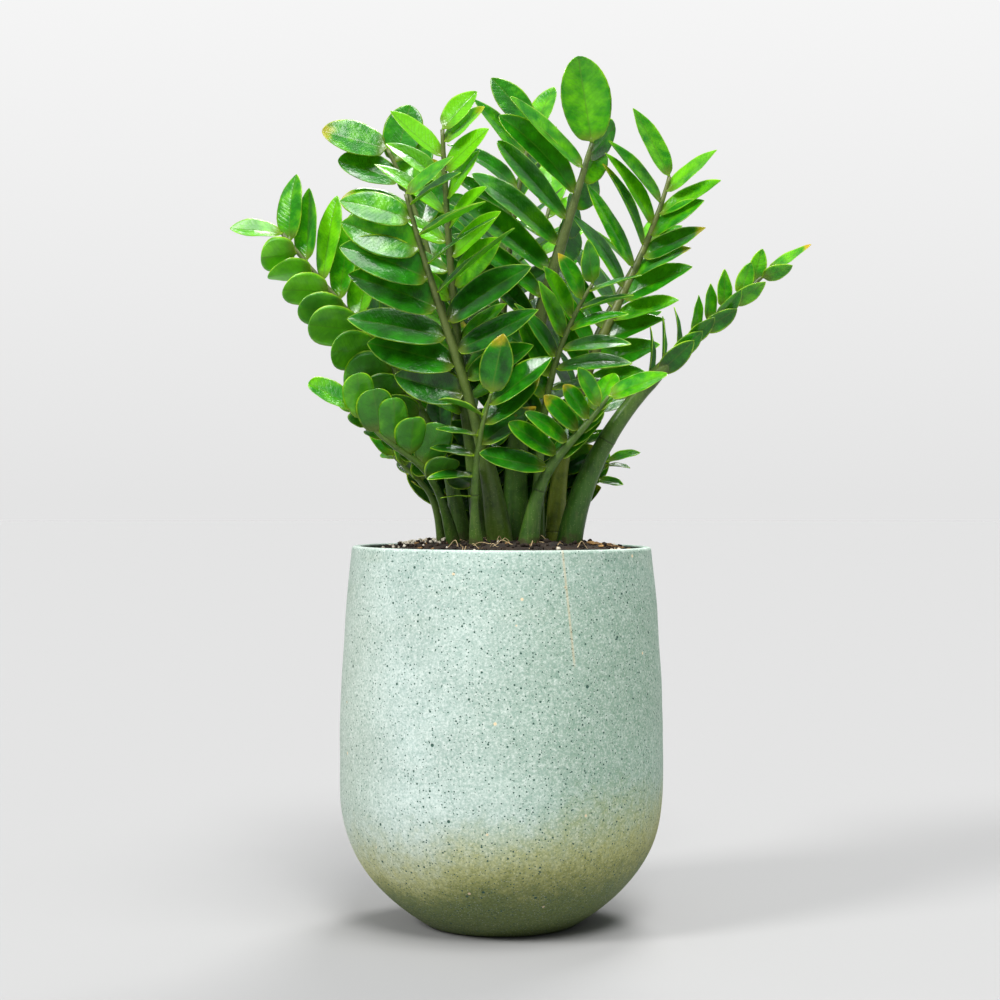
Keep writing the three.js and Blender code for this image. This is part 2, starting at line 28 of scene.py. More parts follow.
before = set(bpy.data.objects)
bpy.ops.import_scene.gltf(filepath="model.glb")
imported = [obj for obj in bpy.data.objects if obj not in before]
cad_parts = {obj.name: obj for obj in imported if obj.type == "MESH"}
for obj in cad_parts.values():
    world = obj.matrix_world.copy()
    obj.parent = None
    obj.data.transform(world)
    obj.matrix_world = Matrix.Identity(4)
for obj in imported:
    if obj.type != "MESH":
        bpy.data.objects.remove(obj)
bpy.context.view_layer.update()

MM = 0.001

# ---- the pot and the soil, as in the solid model ----

POT_HEIGHT = 376
RIM_RADIUS = 149
BELLY_RADIUS = 161.3
BELLY_HEIGHT = 157
BASE_RADIUS = 75
BASE_CURVE = 2.95
WALL = 11
FLOOR = 13
RIM_ROUND = 2.5
INNER_BEVEL = 2
SOIL_AT_WALL = 367
SOIL_MOUND = 13
SEAT_GAP = 0.4

# ---- the fronds, as in the solid model ----

FOOT_HEIGHT = 352
LEAF_DROOP = 0.08
LEAF_THICKNESS = 1.3
SWAY = 0.14  # a leaflet's random lean, as a part of its length
ROLL = 16  # its random roll about its own length, in degrees
UNEVEN = 0.09  # the random part of its size
SHORTER = (1, 0.85, 0.7, 0.55)
BENDS = (
    (0, 0), (0, 6), (0, -6), (6, 0), (-6, 0), (0, 12), (0, -12), (12, 0), (-12, 0),
    (9, 9), (-9, 9), (9, -9), (-9, -9), (0, 19), (0, -19), (19, 0), (-19, 0),
    (14, 14), (-14, 14), (14, -14), (-14, -14), (0, 28), (0, -28), (28, 0), (-28, 0),
)
SAME_POINT = 0.1  # two corners closer than this are the same one

# ---- leaflets that only the visual model has, low on the fronds behind ----

BEHIND = ("frond_back_left", "frond_back_middle", "frond_back_right", "frond_back", "frond_back_west")
LOW_LEAVES = 8
LOW_START = 0.13  # the share of the midline's length at which they start
LOW_LEAF = (58, 32)  # their length and width

# Each frond stands on the soil at foot [x, y], and its midline runs through the three points of path. stem
# is the radius at the foot, at the tip and, where it is given, at the first leaflets. leafy is the stretch
# of the midline that bears leaflets, as parts of its length, with pairs leaflets in each rank. leaf is a
# full leaflet's length and width, lowest the size of the first leaflets as a part of it, taper the part of
# it that is lost towards the tip, and blunt how round a leaflet's end is, from 0 to about 1. left and right
# are the ranks: low and high are the leaflets' directions at the two ends of that stretch, face is the way
# their upper side looks, faceHigh the same at the upper end where it differs, and long, wide and blunt
# change a rank's leaflets. tip is the end leaflet.
FRONDS = [
    dict(
        name="frond_front_tall", foot=(1, -32), path=((-20, -60, 478), (-54, -82, 590), (-91, -98, 712)),
        stem=(14, 2.0, 5.2), leafy=(0.47, 0.97), pairs=7,
        leaf=(98, 46), blunt=0.4, taper=0.38, lowest=0.72,
        left=dict(low=(-0.92, -0.16, 0.30), high=(-0.97, -0.20, 0.20), face=(0.10, -0.90, 0.42), wide=1.04),
        right=dict(
            low=(0.80, -0.28, 0.52), high=(0.76, -0.30, 0.60), face=(-0.30, -0.80, 0.52),
            faceHigh=(-0.42, -0.14, 0.90), wide=0.96,
        ),
        tip=dict(lead=(0.74, -0.30, 0.58), face=(-0.30, -0.70, 0.62), leaf=(58, 26)),
    ),
    dict(
        name="frond_front_small", foot=(-22, -62), path=((-26, -80, 432), (-20, -92, 484), (-10, -100, 522)),
        stem=(9, 1.5), leafy=(0.42, 0.93), pairs=5, leaf=(46, 22), blunt=0.3, taper=0.0,
        left=dict(low=(-0.95, -0.25, 0.05), high=(-0.80, -0.20, 0.45), face=(-0.05, -0.25, 0.95)),
        right=dict(
            low=(-0.10, 0.85, 0.45), high=(0.82, -0.10, 0.56), face=(-0.42, -0.80, 0.42),
            long=1.72, wide=1.75,
        ),
        tip=dict(lead=(0.20, -0.10, 0.97), face=(-0.15, -0.95, 0.10), leaf=(58, 34)),
    ),
    dict(
        name="frond_front_right", foot=(24, -52), path=((37, -66, 432), (62, -80, 472), (102, -94, 520)),
        stem=(12, 1.6), leafy=(0.54, 0.97), pairs=6, leaf=(50, 26), blunt=0.7, taper=0.15, lowest=1.3,
        left=dict(low=(-0.95, -0.20, 0.24), high=(-0.25, -0.35, 0.90), face=(0.30, -0.85, 0.40), wide=0.85),
        right=dict(low=(0.60, 0.40, 0.60), high=(0.30, 0.20, 0.92), face=(-0.50, -0.80, 0.20), wide=1.25),
        tip=dict(lead=(0.88, -0.20, 0.40), face=(-0.20, -0.70, 0.70), leaf=(60, 30)),
    ),
    dict(
        name="frond_west_low", foot=(-42, -36), path=((-66, -70, 438), (-96, -94, 468), (-138, -112, 508)),
        stem=(8.5, 1.6), leafy=(0.46, 0.97), pairs=6, leaf=(46, 33), blunt=1.2, taper=0.10, lowest=0.95,
        left=dict(low=(0.16, -0.25, 0.96), high=(-0.34, -0.22, 0.92), face=(-0.52, 0.85, 0.05)),
        right=dict(low=(0.10, 0.85, 0.45), high=(-0.40, 0.80, 0.40), face=(-0.30, -0.50, 0.80)),
        tip=dict(lead=(-0.82, -0.20, 0.52), face=(0.30, -0.70, 0.62), leaf=(50, 28)),
    ),
    dict(
        name="frond_west_thin", foot=(-58, -14), path=((-65, -22, 412), (-81, -28, 440), (-106, -32, 464)),
        stem=(6, 1.5), leafy=(0.70, 0.97), pairs=2, leaf=(38, 24), blunt=0.8,
        left=dict(low=(-0.05, -0.30, 0.95), high=(-0.15, -0.20, 0.97), face=(0.50, -0.80, 0.10)),
        right=dict(low=(-0.10, 0.80, 0.50), high=(-0.50, 0.60, 0.40), face=(-0.20, -0.60, 0.75)),
        tip=dict(lead=(-0.55, -0.10, 0.82), face=(0.30, -0.80, 0.40), leaf=(38, 24)),
    ),
    dict(
        name="frond_top", foot=(17, 14), path=((20, 8, 508), (50, 0, 644), (90, -10, 776)),
        stem=(14, 2.3, 9.5), leafy=(0.44, 0.97), pairs=9, leaf=(106, 37), blunt=0.8, taper=0.08,
        left=dict(
            low=(-0.74, -0.15, 0.64), high=(-0.64, -0.28, 0.72),
            face=(0.62, -0.50, 0.60), faceHigh=(0.50, -0.76, 0.40),
        ),
        right=dict(
            low=(0.26, 0.94, 0.04), high=(0.34, 0.42, 0.84), face=(0.92, -0.30, 0.16),
            long=0.66, wide=0.95, blunt=1.0,
        ),
        tip=dict(lead=(-0.14, -0.22, 0.96), face=(0.10, -0.94, 0.05), leaf=(86, 50)),
    ),
    dict(
        name="frond_tall_left", foot=(-12, 4), path=((-36, -12, 512), (-50, -28, 650), (-58, -40, 784)),
        stem=(13.5, 2.0), leafy=(0.36, 0.97), pairs=10, leaf=(84, 34), blunt=0.3, taper=0.14,
        left=dict(
            low=(-0.88, -0.22, 0.42), high=(-0.80, -0.16, 0.58),
            face=(0.30, -0.72, 0.62), faceHigh=(0.42, -0.68, 0.60),
        ),
        right=dict(
            low=(0.70, -0.42, 0.55), high=(0.58, -0.40, 0.70),
            face=(-0.50, -0.62, 0.60), faceHigh=(-0.62, -0.66, 0.42), long=0.80,
        ),
        tip=dict(lead=(0.62, -0.25, 0.74), face=(-0.45, -0.80, 0.40), leaf=(50, 30)),
    ),
    dict(
        name="frond_right", foot=(55, -2), path=((72, 8, 508), (122, 18, 628), (170, 24, 748)),
        stem=(11, 2.0, 6.0), leafy=(0.42, 0.96), pairs=10,
        leaf=(92, 34), blunt=0.3, taper=0.10, lowest=0.9,
        left=dict(low=(-0.74, -0.05, 0.62), high=(-0.62, -0.05, 0.78), face=(0.70, -0.56, 0.44)),
        right=dict(
            low=(0.88, -0.30, 0.36), high=(0.76, -0.38, 0.54),
            face=(-0.30, -0.72, 0.62), faceHigh=(-0.35, -0.66, 0.66), long=0.80,
        ),
        tip=dict(lead=(-0.40, -0.15, 0.90), face=(0.60, -0.70, 0.15), leaf=(78, 32)),
    ),
    dict(
        name="frond_west", foot=(-40, -4), path=((-66, -16, 482), (-132, -24, 583), (-216, -24, 684)),
        stem=(13, 1.8), leafy=(0.28, 0.97), pairs=11, leaf=(90, 36), blunt=0.5, taper=0.36, lowest=0.85,
        left=dict(
            low=(-0.86, -0.42, -0.16), high=(-0.94, -0.32, 0.00), face=(-0.05, 0.78, 0.62),
            long=0.62, wide=1.20, blunt=1.0,
        ),
        right=dict(
            low=(0.26, 0.06, 0.96), high=(0.04, -0.04, 0.99), face=(-0.66, -0.74, 0.14), long=1.14, wide=1.1,
        ),
        tip=dict(lead=(-0.95, -0.20, 0.15), face=(0.00, -0.62, 0.78), leaf=(52, 28)),
    ),
    dict(
        name="frond_east", foot=(64, -27), path=((102, -40, 478), (178, -38, 570), (264, -18, 648)),
        stem=(13, 1.7, 7.6), leafy=(0.55, 0.97), pairs=8,
        leaf=(38, 19), blunt=0.3, taper=0.05, lowest=1.5,
        left=dict(
            low=(0.02, 0.05, 1.00), high=(0.30, -0.15, 0.94),
            face=(0.95, -0.25, 0.10), faceHigh=(0.25, -0.95, 0.15),
        ),
        right=dict(low=(0.66, -0.36, 0.66), high=(0.80, -0.30, 0.52), face=(0.30, -0.85, -0.30)),
        tip=dict(lead=(0.82, -0.10, 0.55), face=(-0.45, -0.70, 0.55), leaf=(50, 17)),
    ),
    dict(
        name="frond_middle_right", foot=(34, -14), path=((38, -28, 466), (52, -50, 552), (88, -66, 630)),
        stem=(10, 1.8), leafy=(0.44, 0.97), pairs=8, leaf=(72, 30), blunt=0.2,
        left=dict(low=(-0.50, -0.30, 0.80), high=(-0.25, -0.20, 0.95), face=(0.62, -0.70, 0.30)),
        right=dict(low=(0.95, -0.25, 0.18), high=(0.92, -0.30, 0.30), face=(-0.15, -0.34, 0.92)),
        tip=dict(lead=(-0.12, -0.45, 0.88), face=(0.30, -0.85, 0.30), leaf=(44, 24)),
    ),
    dict(
        name="frond_back_left", foot=(-36, 30), path=((-44, 54, 500), (-68, 74, 648), (-119, 84, 787)),
        stem=(13, 2.0), leafy=(0.27, 0.96), pairs=9, leaf=(80, 46), blunt=0.8, taper=0.12,
        left=dict(low=(-0.92, -0.25, 0.20), high=(-0.88, -0.30, 0.34), face=(0.05, -0.76, 0.64)),
        right=dict(low=(0.60, 0.70, 0.30), high=(0.10, -0.10, 0.99), face=(-0.30, -0.80, 0.50)),
        tip=dict(lead=(-0.92, -0.25, 0.26), face=(-0.15, -0.84, 0.52), leaf=(70, 44)),
    ),
    dict(
        name="frond_back_middle", foot=(-10, 38), path=((-4, 52, 509), (6, 62, 662), (33, 66, 804)),
        stem=(13, 2.0), leafy=(0.27, 0.97), pairs=10, leaf=(92, 36), blunt=0.4, taper=0.15,
        left=dict(low=(-0.80, -0.10, 0.58), high=(-0.70, -0.14, 0.70), face=(0.50, -0.62, 0.50)),
        right=dict(low=(0.80, 0.45, 0.35), high=(0.40, 0.35, 0.85), face=(-0.50, -0.50, 0.70)),
        tip=dict(lead=(-0.58, -0.10, 0.80), face=(0.35, -0.85, 0.20), leaf=(68, 34)),
    ),
    dict(
        name="frond_east_low", foot=(65, 26), path=((74, 20, 408), (88, 16, 434), (105, 10, 459)),
        stem=(6, 1.4), leafy=(0.60, 0.97), pairs=3, leaf=(34, 15), blunt=0.3,
        left=dict(low=(0.40, -0.20, 0.90), high=(0.50, -0.20, 0.85), face=(0.20, -0.90, 0.30)),
        right=dict(low=(0.95, -0.20, -0.10), high=(0.95, -0.20, 0.10), face=(0.00, -0.40, 0.90)),
        tip=dict(lead=(0.95, -0.10, 0.35), face=(-0.20, -0.50, 0.80), leaf=(36, 15)),
    ),
    dict(
        name="frond_back_right", foot=(46, 36), path=((66, 74, 500), (108, 128, 610), (158, 176, 700)),
        stem=(11, 1.9), leafy=(0.25, 0.97), pairs=7, leaf=(84, 38), blunt=0.4,
        left=dict(low=(-0.75, 0.15, 0.65), high=(-0.60, 0.25, 0.75), face=(0.40, -0.30, 0.85)),
        right=dict(low=(0.85, 0.20, 0.30), high=(0.70, 0.30, 0.60), face=(-0.30, -0.30, 0.90)),
        tip=dict(lead=(0.40, 0.50, 0.75), face=(-0.30, -0.40, 0.80), leaf=(64, 34)),
    ),
    dict(
        name="frond_back", foot=(22, 50), path=((22, 98, 500), (30, 146, 620), (52, 190, 740)),
        stem=(11, 1.9), leafy=(0.25, 0.97), pairs=7, leaf=(86, 38), blunt=0.4,
        left=dict(low=(-0.85, 0.10, 0.50), high=(-0.70, 0.30, 0.65), face=(0.20, -0.35, 0.90)),
        right=dict(low=(0.85, 0.15, 0.45), high=(0.70, 0.30, 0.65), face=(-0.20, -0.35, 0.90)),
        tip=dict(lead=(0.10, 0.40, 0.90), face=(0.00, -0.80, 0.50), leaf=(66, 36)),
    ),
    dict(
        name="frond_back_west", foot=(-22, 64), path=((-40, 104, 480), (-78, 146, 580), (-128, 180, 668)),
        stem=(12, 1.9), leafy=(0.25, 0.97), pairs=7, leaf=(78, 38), blunt=0.5,
        left=dict(low=(-0.85, 0.10, 0.20), high=(-0.80, 0.30, 0.40), face=(-0.20, -0.35, 0.90)),
        right=dict(low=(0.45, 0.55, 0.65), high=(0.20, 0.60, 0.80), face=(-0.50, -0.20, 0.80)),
        tip=dict(lead=(-0.60, 0.40, 0.70), face=(0.20, -0.60, 0.70), leaf=(62, 34)),
    ),
]

# What the eye sees of each frond: the first value is how light and yellow its leaflets are, from 0 to 1,
# partly their own tone and partly painted light and shade, lower for fronds that stand in shade and higher
# for lit ones, olive how far its stalk has turned from green to olive, aged the share of leaflets with a
# yellow end, and scars the heights of the rings that fallen sheaths left on the stalk. sheath is a dry one
# that still clings to its foot: the heights of its two ends, the side that it faces, and how far round the
# stalk it goes, both in degrees.
FINISH = {
    "frond_front_tall": dict(tone_and_shade=0.38, olive=0.45, aged=0.05, scars=(374,), sheath=(366, 384, -80, 130)),
    "frond_front_small": dict(tone_and_shade=0.26, olive=0.35, aged=0.35, scars=(426,), sheath=(366, 382, -120, 150)),
    "frond_front_right": dict(tone_and_shade=0.45, olive=0.25, aged=0.15, scars=(431,), sheath=(366, 385, -60, 130)),
    "frond_west_low": dict(tone_and_shade=0.46, olive=0.30, aged=0.15, scars=(372,), sheath=(366, 386, -110, 140)),
    "frond_west_thin": dict(tone_and_shade=0.45, olive=0.40, aged=0.20, scars=(374,)),
    "frond_top": dict(tone_and_shade=0.38, olive=0.20, aged=0.05, scars=(470,), sheath=(368, 388, -60, 130)),
    "frond_tall_left": dict(tone_and_shade=0.92, olive=0.35, aged=0.10, scars=(373,), sheath=(368, 386, -100, 150)),
    "frond_right": dict(tone_and_shade=0.52, olive=1.0, aged=0.10, scars=(389,), sheath=(366, 383, -70, 150)),
    "frond_west": dict(tone_and_shade=0.64, olive=0.30, aged=0.04, scars=(376,), sheath=(366, 386, -120, 130)),
    "frond_east": dict(tone_and_shade=0.45, olive=0.15, aged=0.05, scars=(479,), sheath=(366, 384, -50, 140)),
    "frond_middle_right": dict(tone_and_shade=0.38, olive=0.30, aged=0.05, scars=(372,)),
    "frond_back_left": dict(tone_and_shade=0.42, olive=0.25, aged=0.15, scars=(440,), sheath=(368, 388, 120, 150)),
    "frond_back_middle": dict(tone_and_shade=0.35, olive=0.20, aged=0.05, scars=(462,), sheath=(368, 386, 90, 160)),
    "frond_east_low": dict(tone_and_shade=0.35, olive=0.20, aged=0.20, scars=(396,)),
    "frond_back_right": dict(tone_and_shade=0.50, olive=0.30, aged=0.10, scars=(430,), sheath=(366, 386, 60, 150)),
    "frond_back": dict(tone_and_shade=0.55, olive=0.25, aged=0.10, scars=(415, 452), sheath=(366, 388, 90, 140)),
    "frond_back_west": dict(tone_and_shade=0.45, olive=0.35, aged=0.15, scars=(424,), sheath=(366, 384, 110, 150)),
}

# ---- the finer forms that the solid model leaves out ----

LEAF_ALONG = np.array([
    0, 0.025, 0.05, 0.08, 0.12, 0.18, 0.26, 0.36, 0.47, 0.58, 0.69, 0.79, 0.87, 0.93, 0.97, 0.99,
])
UPPER_ACROSS = (-0.9, -0.62, -0.3, -0.07, 0, 0.07, 0.3, 0.62, 0.9)
LOWER_ACROSS = (0.8, 0.4, 0.07, -0.07, -0.4, -0.8)
LEAF_ACROSS = np.array([-1, *UPPER_ACROSS, 1, *LOWER_ACROSS])  # once round the blade, as parts of its half
LEAF_SIDE = np.array([0] + [1] * len(UPPER_ACROSS) + [0] + [-1] * len(LOWER_ACROSS))
PETIOLE = (1, 5)  # the stretch, from the root, in which the leaflet's short stalk widens to the blade
PETIOLE_RADIUS = 1.2
BLADE_HALF_THICKNESS = 0.6
MIDRIB_GROOVE = (0.28, 0.9)  # above: its depth and half width
MIDRIB_RIDGE = (0.5, 1.1)  # below: its height and half width
MARGIN_WAVE = 0.4  # how far the waves of the margin rise
LEAF_VARIES = dict(  # each leaflet's own amounts are drawn between these
    fold=(0.02, 0.18), cup=(-0.04, 0.28), twist=(-22, 22), sickle=(-0.05, 0.05), arch=(-0.02, 0.06),
    phase=(0, 1), tone=(-0.22, 0.22), aged=(0, 1),
)
TIP_LIGHT_FROM = 0.7  # painted light: leaflets above this share of the stalk are lighter, below darker
SHADE_HEIGHTS = (560, 370)  # leaflets are darker from the first height down, and darkest from the second
SHADE_REACHES = (150, 40)  # and so they are nearer to the pot's axis
APART = 170  # how far apart neighbouring leaflets lie in the patterns of their material
MOST_LEAFLETS = 40  # no frond has more

STALK_AROUND = 24
STALK_RINGS = 64
SCAR_RINGS = np.array([-3, -1.2, -0.6, 0, 0.6, 1.2, 3])  # the rings added about each scar
SHEATH_UP, SHEATH_ROUND = 12, 15  # the points of a sheath's grid
SHEATH_THICKNESS = 0.45
POT_AROUND = 224
SOIL_AROUND = 200
GRAIN_RISE = (-55, -20, 20, 55)  # the rings of a grain, as degrees above its middle
GRAIN_AROUND = 7
ROOTLET_POINTS, ROOTLET_AROUND = 14, 6
LATTICE = 97  # how many random values lumps has each way before they repeat

# ---- small helpers ----


def unit(v):
    """v scaled to length 1."""
    v = np.asarray(v, float)
    return v / np.linalg.norm(v, axis=-1, keepdims=True)


def across(v, axis):
    """The part of v that is square to the unit vector axis, scaled to length 1."""
    v = np.asarray(v, float)
    return unit(v - (v * axis).sum(-1, keepdims=True) * axis)


def turned(v, axis, degrees):
    """v turned about a unit vector: its part along the axis stays, and the rest swings round."""
    angle = np.radians(degrees)
    kept = np.dot(v, axis) * axis
    return kept + (v - kept) * np.cos(angle) + np.cross(axis, v) * np.sin(angle)


def swung(a, b, angle):
    """Two coordinates of some points after a turn by an angle in radians, from a towards b."""
    return a * np.cos(angle) - b * np.sin(angle), a * np.sin(angle) + b * np.cos(angle)


def blend(low, high, share):
    """The value at a share of the way from low to high."""
    return np.asarray(low, float) * (1 - share) + np.asarray(high, float) * share


def ease(x, start=0, full=1):
    """0 at start, 1 at full, and between them 3s squared less 2s cubed, where s is the share of the way."""
    s = np.clip((x - start) / (full - start), 0, 1)
    return s * s * (3 - 2 * s)


def draw(seed):
    """A repeatable draw between -1 and 1: twice the fraction of a large sine, less 1."""
    x = np.sin(seed * 12.9898) * 43758.5453
    return 2 * (x - np.floor(x)) - 1


def lumps(x, y, size, seed):
    """Smooth random heights from -1 to 1: a random value at each lattice corner, eased between them."""
    values = np.random.default_rng(seed).uniform(-1, 1, (LATTICE, LATTICE))
    i, j = np.floor(x / size).astype(int), np.floor(y / size).astype(int)
    s, t = ease(x / size - i), ease(y / size - j)
    near, far = (
        values[i % LATTICE, row % LATTICE] * (1 - s) + values[(i + 1) % LATTICE, row % LATTICE] * s
        for row in (j, j + 1)
    )
    return near * (1 - t) + far * t


def turns(count):
    """The angles of count points that are evenly spaced once round, as one row."""
    return 2 * np.pi * np.arange(count)[None, :] / count


def round_axis(radius, turn, height):
    """The points at a radius and an angle about an upright axis, and at a height."""
    return np.stack(np.broadcast_arrays(radius * np.cos(turn), radius * np.sin(turn), height), axis=-1)


def tube(points, tangent, toward, turn, radius):
    """Rings about the points of a path. Each ring's points lie off the path's point by the radius, times the
    cosine of the angle in the direction that is square to the path and nearest to toward, and times its sine
    in the direction square to both."""
    first = across(toward, tangent)
    second = np.cross(tangent, first)
    out = np.cos(turn)[..., None] * first[..., None, :] + np.sin(turn)[..., None] * second[..., None, :]
    return points[..., None, :] + radius[..., None] * out


def with_ends(rings, start=None, end=None):
    """The points of forms made of rings (form, ring, around, xyz) as one list, each form followed by its two
    end points, which are the middles of its first and last rings where they aren't given."""
    start = rings[:, 0].mean(axis=1) if start is None else start
    end = rings[:, -1].mean(axis=1) if end is None else end
    forms = rings.shape[0]
    listed = [rings.reshape(forms, -1, 3), start.reshape(forms, 1, 3), end.reshape(forms, 1, 3)]
    return np.concatenate(listed, axis=1).reshape(-1, 3)


def closed_loft(rings, start=None, end=None):
    """Points and faces of closed forms. Neighbouring rings are joined by four-sided faces, and a fan of
    triangles closes each end. The faces are turned outwards by the sign of the forms' volume."""
    forms, count, around = rings.shape[:3]
    points = with_ends(rings, start, end)
    ring, j = np.meshgrid(np.arange(count - 1), np.arange(around), indexing="ij")
    k = (j + 1) % around
    corners = [ring * around + j, (ring + 1) * around + j, (ring + 1) * around + k, ring * around + k]
    quads = np.stack(corners, axis=-1).reshape(-1, 4)
    j, k, top = j[0], k[0], (count - 1) * around
    first, last = np.full(around, count * around), np.full(around, count * around + 1)
    fans = np.concatenate([np.stack([first, j, k], -1), np.stack([last, top + k, top + j], -1)])
    triangles = np.concatenate([quads[:, [0, 1, 2]], quads[:, [0, 2, 3]], fans])
    a, b, c = (points[triangles[:, i]] for i in range(3))
    if (a * np.cross(b, c)).sum() < 0:
        quads, fans = quads[:, ::-1], fans[:, ::-1]
    first_point = (np.arange(forms) * (count * around + 2))[:, None, None]
    faces = [*(quads + first_point).reshape(-1, 4).tolist(), *(fans + first_point).reshape(-1, 3).tolist()]
    return points, faces


def make_piece(name, loft, material, slot, stands_for=(), **marks):
    """A finished piece in its place: its mesh, its finish, the solids that it stands for, and the marks,
    which are three numbers for each point that its material reads by name."""
    points, faces = loft
    mesh = bpy.data.meshes.new(name)
    mesh.from_pydata(points * MM, [], faces)
    mesh.polygons.foreach_set("use_smooth", [True] * len(faces))
    for mark, values in marks.items():
        mesh.attributes.new(mark, "FLOAT_VECTOR", "POINT").data.foreach_set("vector", values.ravel())
    mesh.materials.append(material)
    piece = bpy.data.objects.new(name, mesh)
    bpy.context.scene.collection.objects.link(piece)
    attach(piece, "root")
    if stands_for:
        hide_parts(*stands_for)
    return piece


# ---- the midlines and the places of the leaflets ----


def midline(frond):
    """The cubic through the foot and three points at equal steps of its parameter s, as 61 points with the
    share of the length up to each."""
    a, b, c, d = np.array([(*frond["foot"], FOOT_HEIGHT), *frond["path"]], float)
    s = np.linspace(0, 1, 61)[:, None]
    points = (
        a * (1 - 3 * s) * (2 - 3 * s) * (1 - s) / 2
        + b * 9 * s * (2 - 3 * s) * (1 - s) / 2
        + c * 9 * s * (3 * s - 1) * (1 - s) / 2
        + d * s * (3 * s - 1) * (3 * s - 2) / 2
    )
    run = np.concatenate([[0], np.linalg.norm(np.diff(points, axis=0), axis=1).cumsum()])
    return dict(points=points, share=run / run[-1], length=run[-1])


def along(line, share):
    """The points and directions at some shares of the midline's length."""
    share = np.atleast_1d(share)
    last = len(line["points"]) - 1
    i = np.clip(np.searchsorted(line["share"][1:], share, side="right"), 0, last - 1)
    part = (share - line["share"][i]) / (line["share"][i + 1] - line["share"][i])
    point = blend(line["points"][i], line["points"][i + 1], part[:, None])
    before = line["points"][np.maximum(i - 1, 0)]
    after = line["points"][np.minimum(i + 2, last)]
    return point, unit(after - before)


def share_at(line, height):
    """The shares of the midline's length at which it is at some heights."""
    fine = np.linspace(0, 1, 400)
    return np.interp(height, along(line, fine)[0][:, 2], fine)


def stem_radius(frond, share):
    """The stalk slims by a smooth S from its foot to the first leaflets, and evenly on to the tip."""
    foot, tip = frond["stem"][:2]
    middle = frond["stem"][2] if len(frond["stem"]) > 2 else max(tip * 1.7, foot * 0.42)
    first = frond["leafy"][0]
    leafless = blend(foot, middle, ease(share / first))
    return np.where(share > first, blend(middle, tip, (share - first) / (1 - first)), leafless)


def size_along(frond, x):
    """A leaflet's size at x from 0 at the lowest to 1 at the highest: smaller at both ends of the frond."""
    lowest = frond.get("lowest", 0.72)
    if x < 0.3:
        return lowest + (1 - lowest) * x / 0.3
    return 1 - frond.get("taper", 0.3) * max((x - 0.45) / 0.55, 0) ** 1.4


def rank_leaf(frond, line, rank, x, draws):
    """Where one leaflet of a rank grows, which way, how it faces and how large it is, before any bending."""
    share = blend(*frond["leafy"], x)
    plain = unit(blend(rank["low"], rank["high"], x))
    look = blend(rank["face"], rank.get("faceHigh", rank["face"]), x)
    up = across(look, plain)
    lead = unit(plain + SWAY * draws[0] * np.cross(up, plain) + SWAY * draws[1] * up)
    size = size_along(frond, x)
    return dict(
        lead=lead,
        face=turned(across(look, lead), lead, ROLL * draws[2]),
        root=along(line, share)[0][0] + lead * stem_radius(frond, share) / 2,
        length=frond["leaf"][0] * size * rank.get("long", 1) * (1 + UNEVEN * draws[3]),
        width=frond["leaf"][1] * size ** 0.7 * rank.get("wide", 1) * (1 + UNEVEN * draws[4]),
        share=float(share),
        blunt=rank.get("blunt", frond["blunt"]),
    )


def low_leaves(frond, line, number):
    """Small leaflets below the leafy stretch of a frond behind, which fill the dark between the stalks. Only
    the visual model has them. They grow to the left and the right in turn, with their faces to the front."""
    places = []
    for k in range(LOW_LEAVES):
        side = 1 if k % 2 else -1
        share = blend(LOW_START, frond["leafy"][0], k / (LOW_LEAVES - 1))
        lead = unit((side * (0.8 + 0.2 * draw(number + k)), -0.35, 0.45 + 0.25 * draw(number + 3 * k)))
        face = across((-0.25 * side, -0.85, 0.4), lead)
        root = along(line, share)[0][0] + lead * stem_radius(frond, share) * 0.7
        places.append(dict(
            lead=lead, face=face, root=root, share=float(share), blunt=0.5,
            length=LOW_LEAF[0] * (1 + 0.15 * draw(number + 5 * k)), width=LOW_LEAF[1],
        ))
    return places


def leaf_places(frond, line, number):
    """The end leaflet and then both ranks from the tip down, each with its own small draws."""
    lead = unit(frond["tip"]["lead"])
    length, width = frond["tip"]["leaf"]
    face, root = across(frond["tip"]["face"], lead), along(line, 1)[0][0]
    end = dict(lead=lead, face=face, root=root, length=length, width=width, share=1.0, blunt=frond["blunt"])
    places = [end]
    for k in reversed(range(frond["pairs"])):
        for side, rank in enumerate((frond["left"], frond["right"])):
            draws = [draw(100 * number + 2 * k + side + 0.13 * q) for q in range(1, 6)]
            places.append(rank_leaf(frond, line, rank, (k + side / 2) / (frond["pairs"] - 0.5), draws))
    return places


def bent(place, bend, shorter):
    """The same leaflet turned at its root, sideways in its own plane and up out of it, and shortened."""
    lead = turned(place["lead"], place["face"], bend[0])
    hinge = np.cross(lead, place["face"])
    return dict(
        place,
        lead=turned(lead, hinge, bend[1]),
        face=turned(place["face"], hinge, bend[1]),
        length=place["length"] * shorter,
        width=place["width"] * (1 + shorter) / 2,
    )


def as_it_stands(place, corners):
    """The leaflet as the solid model has it, or None where it was left out there. In that model each leaflet
    is turned a little at its root, and then shortened, until it is clear of its neighbours. The try that was
    kept is the first whose upper tip is a corner of the frond's solid."""
    for shorter in SHORTER:
        for bend in BENDS:
            tried = bent(place, bend, shorter)
            sunk = LEAF_THICKNESS / 2 - LEAF_DROOP * tried["length"]
            tip = tried["root"] + tried["lead"] * tried["length"] + tried["face"] * sunk
            if np.abs(corners - tip).max(axis=1).min() < SAME_POINT:
                return tried
    return None


def corners_of(node):
    """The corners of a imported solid, in millimetres."""
    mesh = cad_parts[node].data
    corners = np.empty(len(mesh.vertices) * 3)
    mesh.vertices.foreach_get("co", corners)
    return corners.reshape(-1, 3) / MM


# ---- leaflets ----


def outline(u, blunt):
    """Half of a leaflet's outline: a round base that is soon wide, nearly parallel sides, and an end that is
    pointed for a blunt of 0 and round for a blunt of 1."""
    base = (1 - (1 - u) ** 3) ** 0.5
    end = (1 - u ** (2.6 + 2 * blunt)) ** (0.95 - 0.4 * blunt)
    return base * end / 0.88


